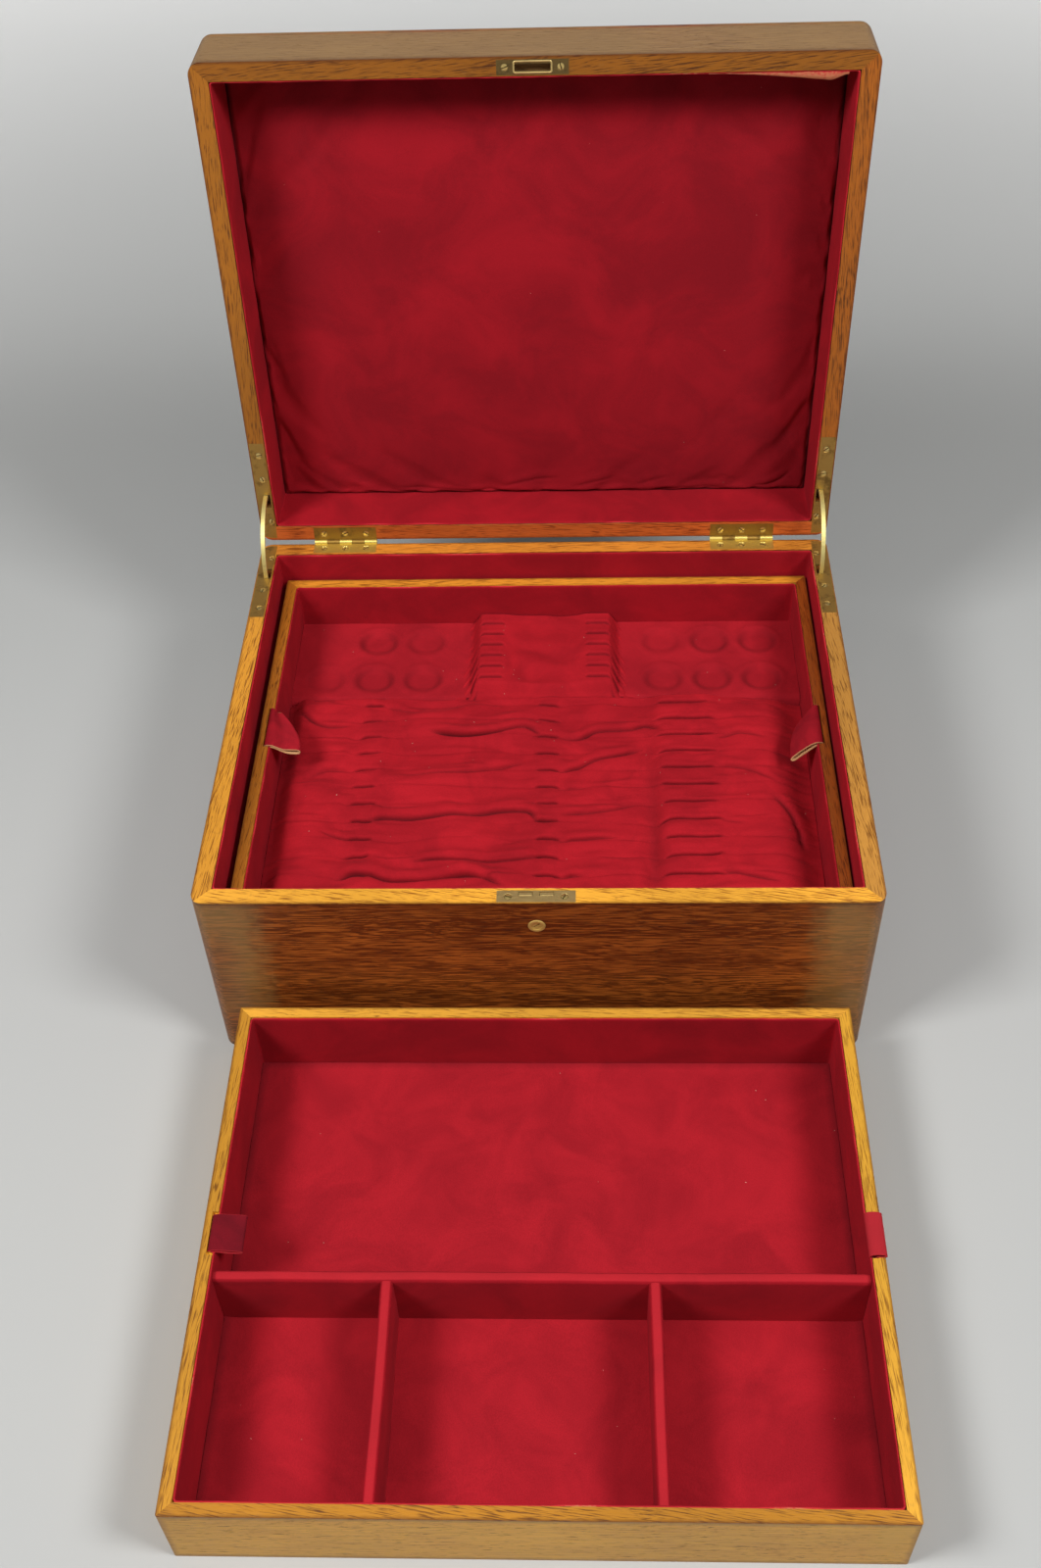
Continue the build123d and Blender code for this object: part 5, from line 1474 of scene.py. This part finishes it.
# %% Screw heads
def from_axis(tree):
    """How far a point of a mesh is from the Z axis, and its height."""
    position = node_in(tree, "GeometryNodeInputPosition").outputs[0]
    x, y, z = node_in(tree, "ShaderNodeSeparateXYZ", {0: position}).outputs
    squares = calc(tree, "ADD", calc(tree, "POWER", x, 2.0), calc(tree, "POWER", y, 2.0))
    return calc(tree, "SQRT", squares), z


def random_vector(tree, seed, low, high):
    """A random vector for each point, between two bounds."""
    made = node_in(tree, "FunctionNodeRandomValue", data_type="FLOAT_VECTOR")
    feed(tree, made, {0: low, 1: high, "Seed": seed})
    return made.outputs[0]


def set_copies(tree, outlet, material, copies):
    """Real copies of an instance on points, in a material, as what a tree gives out."""
    made = node_in(tree, "GeometryNodeInstanceOnPoints", copies)
    real = node_in(tree, "GeometryNodeRealizeInstances", {"Geometry": made.outputs["Instances"]})
    dressed = node_in(tree, "GeometryNodeSetMaterial",
                      {"Geometry": real.outputs["Geometry"], "Material": material})
    feed(tree, outlet, {"Geometry": dressed.outputs["Geometry"]})


def build_screw_heads():
    """Copies of a domed, slotted head, one on each point, facing up."""
    tree, inlet, outlet = new_tree(
        "GeometryNodeTree", "screw_heads",
        [
            ("Geometry", "Geometry", None),
            ("Head Radius", "Float", 2.55 * mm),
            ("Dome", "Float", 0.25 * mm),
            ("Slot Width", "Float", 0.75 * mm),
            ("Slot Depth", "Float", 0.9 * mm),
            ("Seed", "Int", 1),
            ("Material", "Material", None),
        ],
        [("Geometry", "Geometry")],
    )
    given = inlet.outputs
    half_depth, slot_floor, grime_share = 0.6 * mm, -0.5 * mm, 0.85
    disc = node_in(tree, "GeometryNodeMeshCylinder", fill_type="TRIANGLE_FAN", sockets={
        "Vertices": 28, "Fill Segments": 4, "Depth": 2 * half_depth, "Radius": given["Head Radius"]})
    across, height = from_axis(tree)
    share = calc(tree, "DIVIDE", across, given["Head Radius"])
    swell = calc(tree, "SUBTRACT", 1.0, calc(tree, "MULTIPLY", share, share))
    swell = calc(tree, "MULTIPLY", swell, given["Dome"])
    raised = calc(tree, "MULTIPLY", swell, calc(tree, "GREATER_THAN", height, 0.0))
    lift = calc(tree, "SUBTRACT", raised, calc(tree, "ADD", given["Dome"], half_depth))
    domed = node_in(tree, "GeometryNodeSetPosition",
                    {"Geometry": disc.outputs["Mesh"], "Offset": vector_of(tree, Z=lift)})
    bar_size = vector_of(tree, X=calc(tree, "MULTIPLY", given["Head Radius"], 3.0),
                         Y=given["Slot Width"], Z=calc(tree, "MULTIPLY", given["Slot Depth"], 2.0))
    bar = node_in(tree, "GeometryNodeMeshCube", {"Size": bar_size})
    slotted = node_in(tree, "GeometryNodeMeshBoolean", operation="DIFFERENCE", sockets={
        "Mesh 1": domed.outputs["Geometry"], "Mesh 2": bar.outputs["Mesh"]})
    wide, level = from_axis(tree)
    low = calc(tree, "LESS_THAN", level, slot_floor)
    outer = calc(tree, "GREATER_THAN", calc(tree, "DIVIDE", wide, given["Head Radius"]), 0.9)
    grime = calc(tree, "MULTIPLY", calc(tree, "MAXIMUM", low, outer), grime_share)
    grimy = node_in(tree, "GeometryNodeStoreNamedAttribute", data_type="FLOAT", domain="POINT", sockets={
        "Geometry": slotted.outputs["Mesh"], "Name": "grime", "Value": grime})
    set_copies(tree, outlet, given["Material"], {
        "Points": given["Geometry"], "Instance": grimy.outputs["Geometry"],
        "Rotation": random_vector(tree, given["Seed"], (0, 0, 0), (0, 0, math.tau)),
    })
    return tree


def grown(name, source, tree, values):
    """The plain mesh that a Geometry Nodes tree makes from a source object, which it uses up."""
    modifier = source.modifiers.new(tree.name, "NODES")
    modifier.node_group = tree
    for item in tree.interface.items_tree:
        if item.in_out == "INPUT" and item.name in values:
            modifier[item.identifier] = values[item.name]
    shaped = source.evaluated_get(bpy.context.evaluated_depsgraph_get())
    mesh = bpy.data.meshes.new_from_object(shaped)
    bpy.data.objects.remove(source)
    return add_object(name, mesh)


def head_places(node, out_of_wood):
    """The middle of each screw head of a CAD node, in a frame whose Z points out of the wood."""
    crown_depth, head_span = 0.3 * mm, 5.6 * mm
    points = placed([v.co for v in nodes[node].data.vertices], out_of_wood.inverted())
    tops = points[points[:, 2] > points[:, 2].max() - crown_depth]
    places = []
    while len(tops):
        near = np.hypot(*(tops - tops[0])[:, :2].T) < head_span
        places.append((tops[near].min(0) + tops[near].max(0)) / 2)
        tops = tops[~near]
    return places


screw_tree = build_screw_heads()
for number, (half, out_of_wood) in enumerate((("chest", still), ("lid", lid_inside))):
    places = head_places(f"{half}_wood_screws", out_of_wood)
    spots = mesh_from(f"{half}_screw_places", [tuple(p) for p in places], [])
    heads = grown(f"{half}_slotted_screws", spots, screw_tree,
                  {"Seed": 4 + number, "Material": screw_brass})
    heads.data.transform(out_of_wood)
    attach(heads, half)
    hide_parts(f"{half}_wood_screws")
    print(heads.name, "on", len(places), "places,", len(heads.data.polygons), "faces")

# %% [markdown]
# The strike plate has gone dark, but the lip round its opening is rubbed bright by the bolt.
# The lip is a small section carried once round a rounded rectangle.

# %% Lip of the strike plate
plate_points = np.array([v.co for v in nodes["strike_plate"].data.vertices])
plate_corners = placed(plate_points, lid_inside.inverted())
plate_middle = (plate_corners.min(0) + plate_corners.max(0)) / 2
plate_top = plate_corners[:, 2].max()
lip_section = [(-1.0, 0.0), (-0.9, 0.13), (-0.2, 0.15), (0.15, 0.05), (0.2, -0.6), (0.2, -2.6)]
lip_loop = wall_loop(12.1 * mm, 3.3 * mm, 0.9 * mm, 1.2 * mm)
lip_rows = np.array([
    [(spot.x + inward.x * inset * mm, spot.y + inward.y * inset * mm, plate_top + rise * mm)
     for spot, inward in lip_loop]
    for inset, rise in lip_section
])
lip_rows[..., :2] += plate_middle[:2]
strike_lip = grid_object("strike_lip", placed(lip_rows, lid_inside), closed=True)
strike_lip.data.materials.append(lock_brass)
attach(strike_lip, "lid")
print("lip at", tuple(round(float(v) / mm, 1) for v in plate_middle))

# %% [markdown]
# Old velvet holds bits of lint. Specks too small to matter one by one make the cloth look
# used, and a Geometry Nodes tree strews them over whatever velvet it is given.

# %% Lint on the velvet
def build_lint():
    """Small pale specks strewn over the faces that look along a given direction."""
    tree, inlet, outlet = new_tree(
        "GeometryNodeTree", "lint",
        [
            ("Geometry", "Geometry", None),
            ("Density", "Float", 300.0),
            ("Speck Size", "Float", 0.3 * mm),
            ("Up", "Vector", (0, 0, 1)),
            ("Seed", "Int", 1),
            ("Material", "Material", None),
        ],
        [("Geometry", "Geometry")],
    )
    given = inlet.outputs
    normal = node_in(tree, "GeometryNodeInputNormal").outputs[0]
    facing = node_in(tree, "ShaderNodeVectorMath", {0: normal, 1: given["Up"]}, operation="DOT_PRODUCT")
    strewn = node_in(tree, "GeometryNodeDistributePointsOnFaces", {
        "Mesh": given["Geometry"], "Density": given["Density"], "Seed": given["Seed"],
        "Selection": calc(tree, "GREATER_THAN", facing.outputs["Value"], 0.75),
    })
    speck = node_in(tree, "GeometryNodeMeshIcoSphere", {"Subdivisions": 1, "Radius": given["Speck Size"]})
    set_copies(tree, outlet, given["Material"], {
        "Points": strewn.outputs["Points"], "Instance": speck.outputs["Mesh"],
        "Rotation": random_vector(tree, given["Seed"], (-0.3, -0.3, 0), (0.3, 0.3, math.tau)),
        "Scale": random_vector(tree, given["Seed"], (0.8, 0.3, 0.3), (2.2, 0.9, 0.6)),
    })
    return tree


lint_material, lint_nodes, lint_shader = new_material("lint")
lint_noise = noise_value(lint_nodes, object_place(lint_nodes), 1.0, scale=90)
lint_stops = [(0.35, tone(170, 116, 104)), (0.65, tone(216, 190, 170))]
feed(lint_nodes, lint_shader, {"Base Color": ramp(lint_nodes, lint_noise, lint_stops), "Roughness": 0.95})
lint_tree = build_lint()
lid_facing = tuple(lid_inside.to_3x3() @ Vector((0, 0, 1)))
# Each bed is its body, its pieces, the way that counts as up, and specks for each square metre.
lint_beds = [
    ("lid", ("lid_velvet_pad",), lid_facing, 90.0), ("chest", ("chest_floor_velvet",), (0, 0, 1), 60.0),
    ("lower_tray", ("rack_velvet", "dented_floor_pad", "teaspoon_velvet"), (0, 0, 1), 330.0),
    ("upper_tray", ("upper_tray_floor_velvet",), (0, 0, 1), 200.0),
]
for number, (body, beds, up, density) in enumerate(lint_beds):
    bed = bmesh.new()
    for name in beds:
        bed.from_mesh(bpy.data.objects[name].data)
    bed_mesh = bpy.data.meshes.new(f"{body}_lint_bed")
    bed.to_mesh(bed_mesh)
    bed.free()
    specks = grown(f"{body}_lint", add_object(bed_mesh.name, bed_mesh), lint_tree,
                   {"Density": density, "Up": up, "Seed": 11 + number, "Material": lint_material})
    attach(specks, body)
    print(specks.name, "has", len(specks.data.polygons) // 20, "specks")
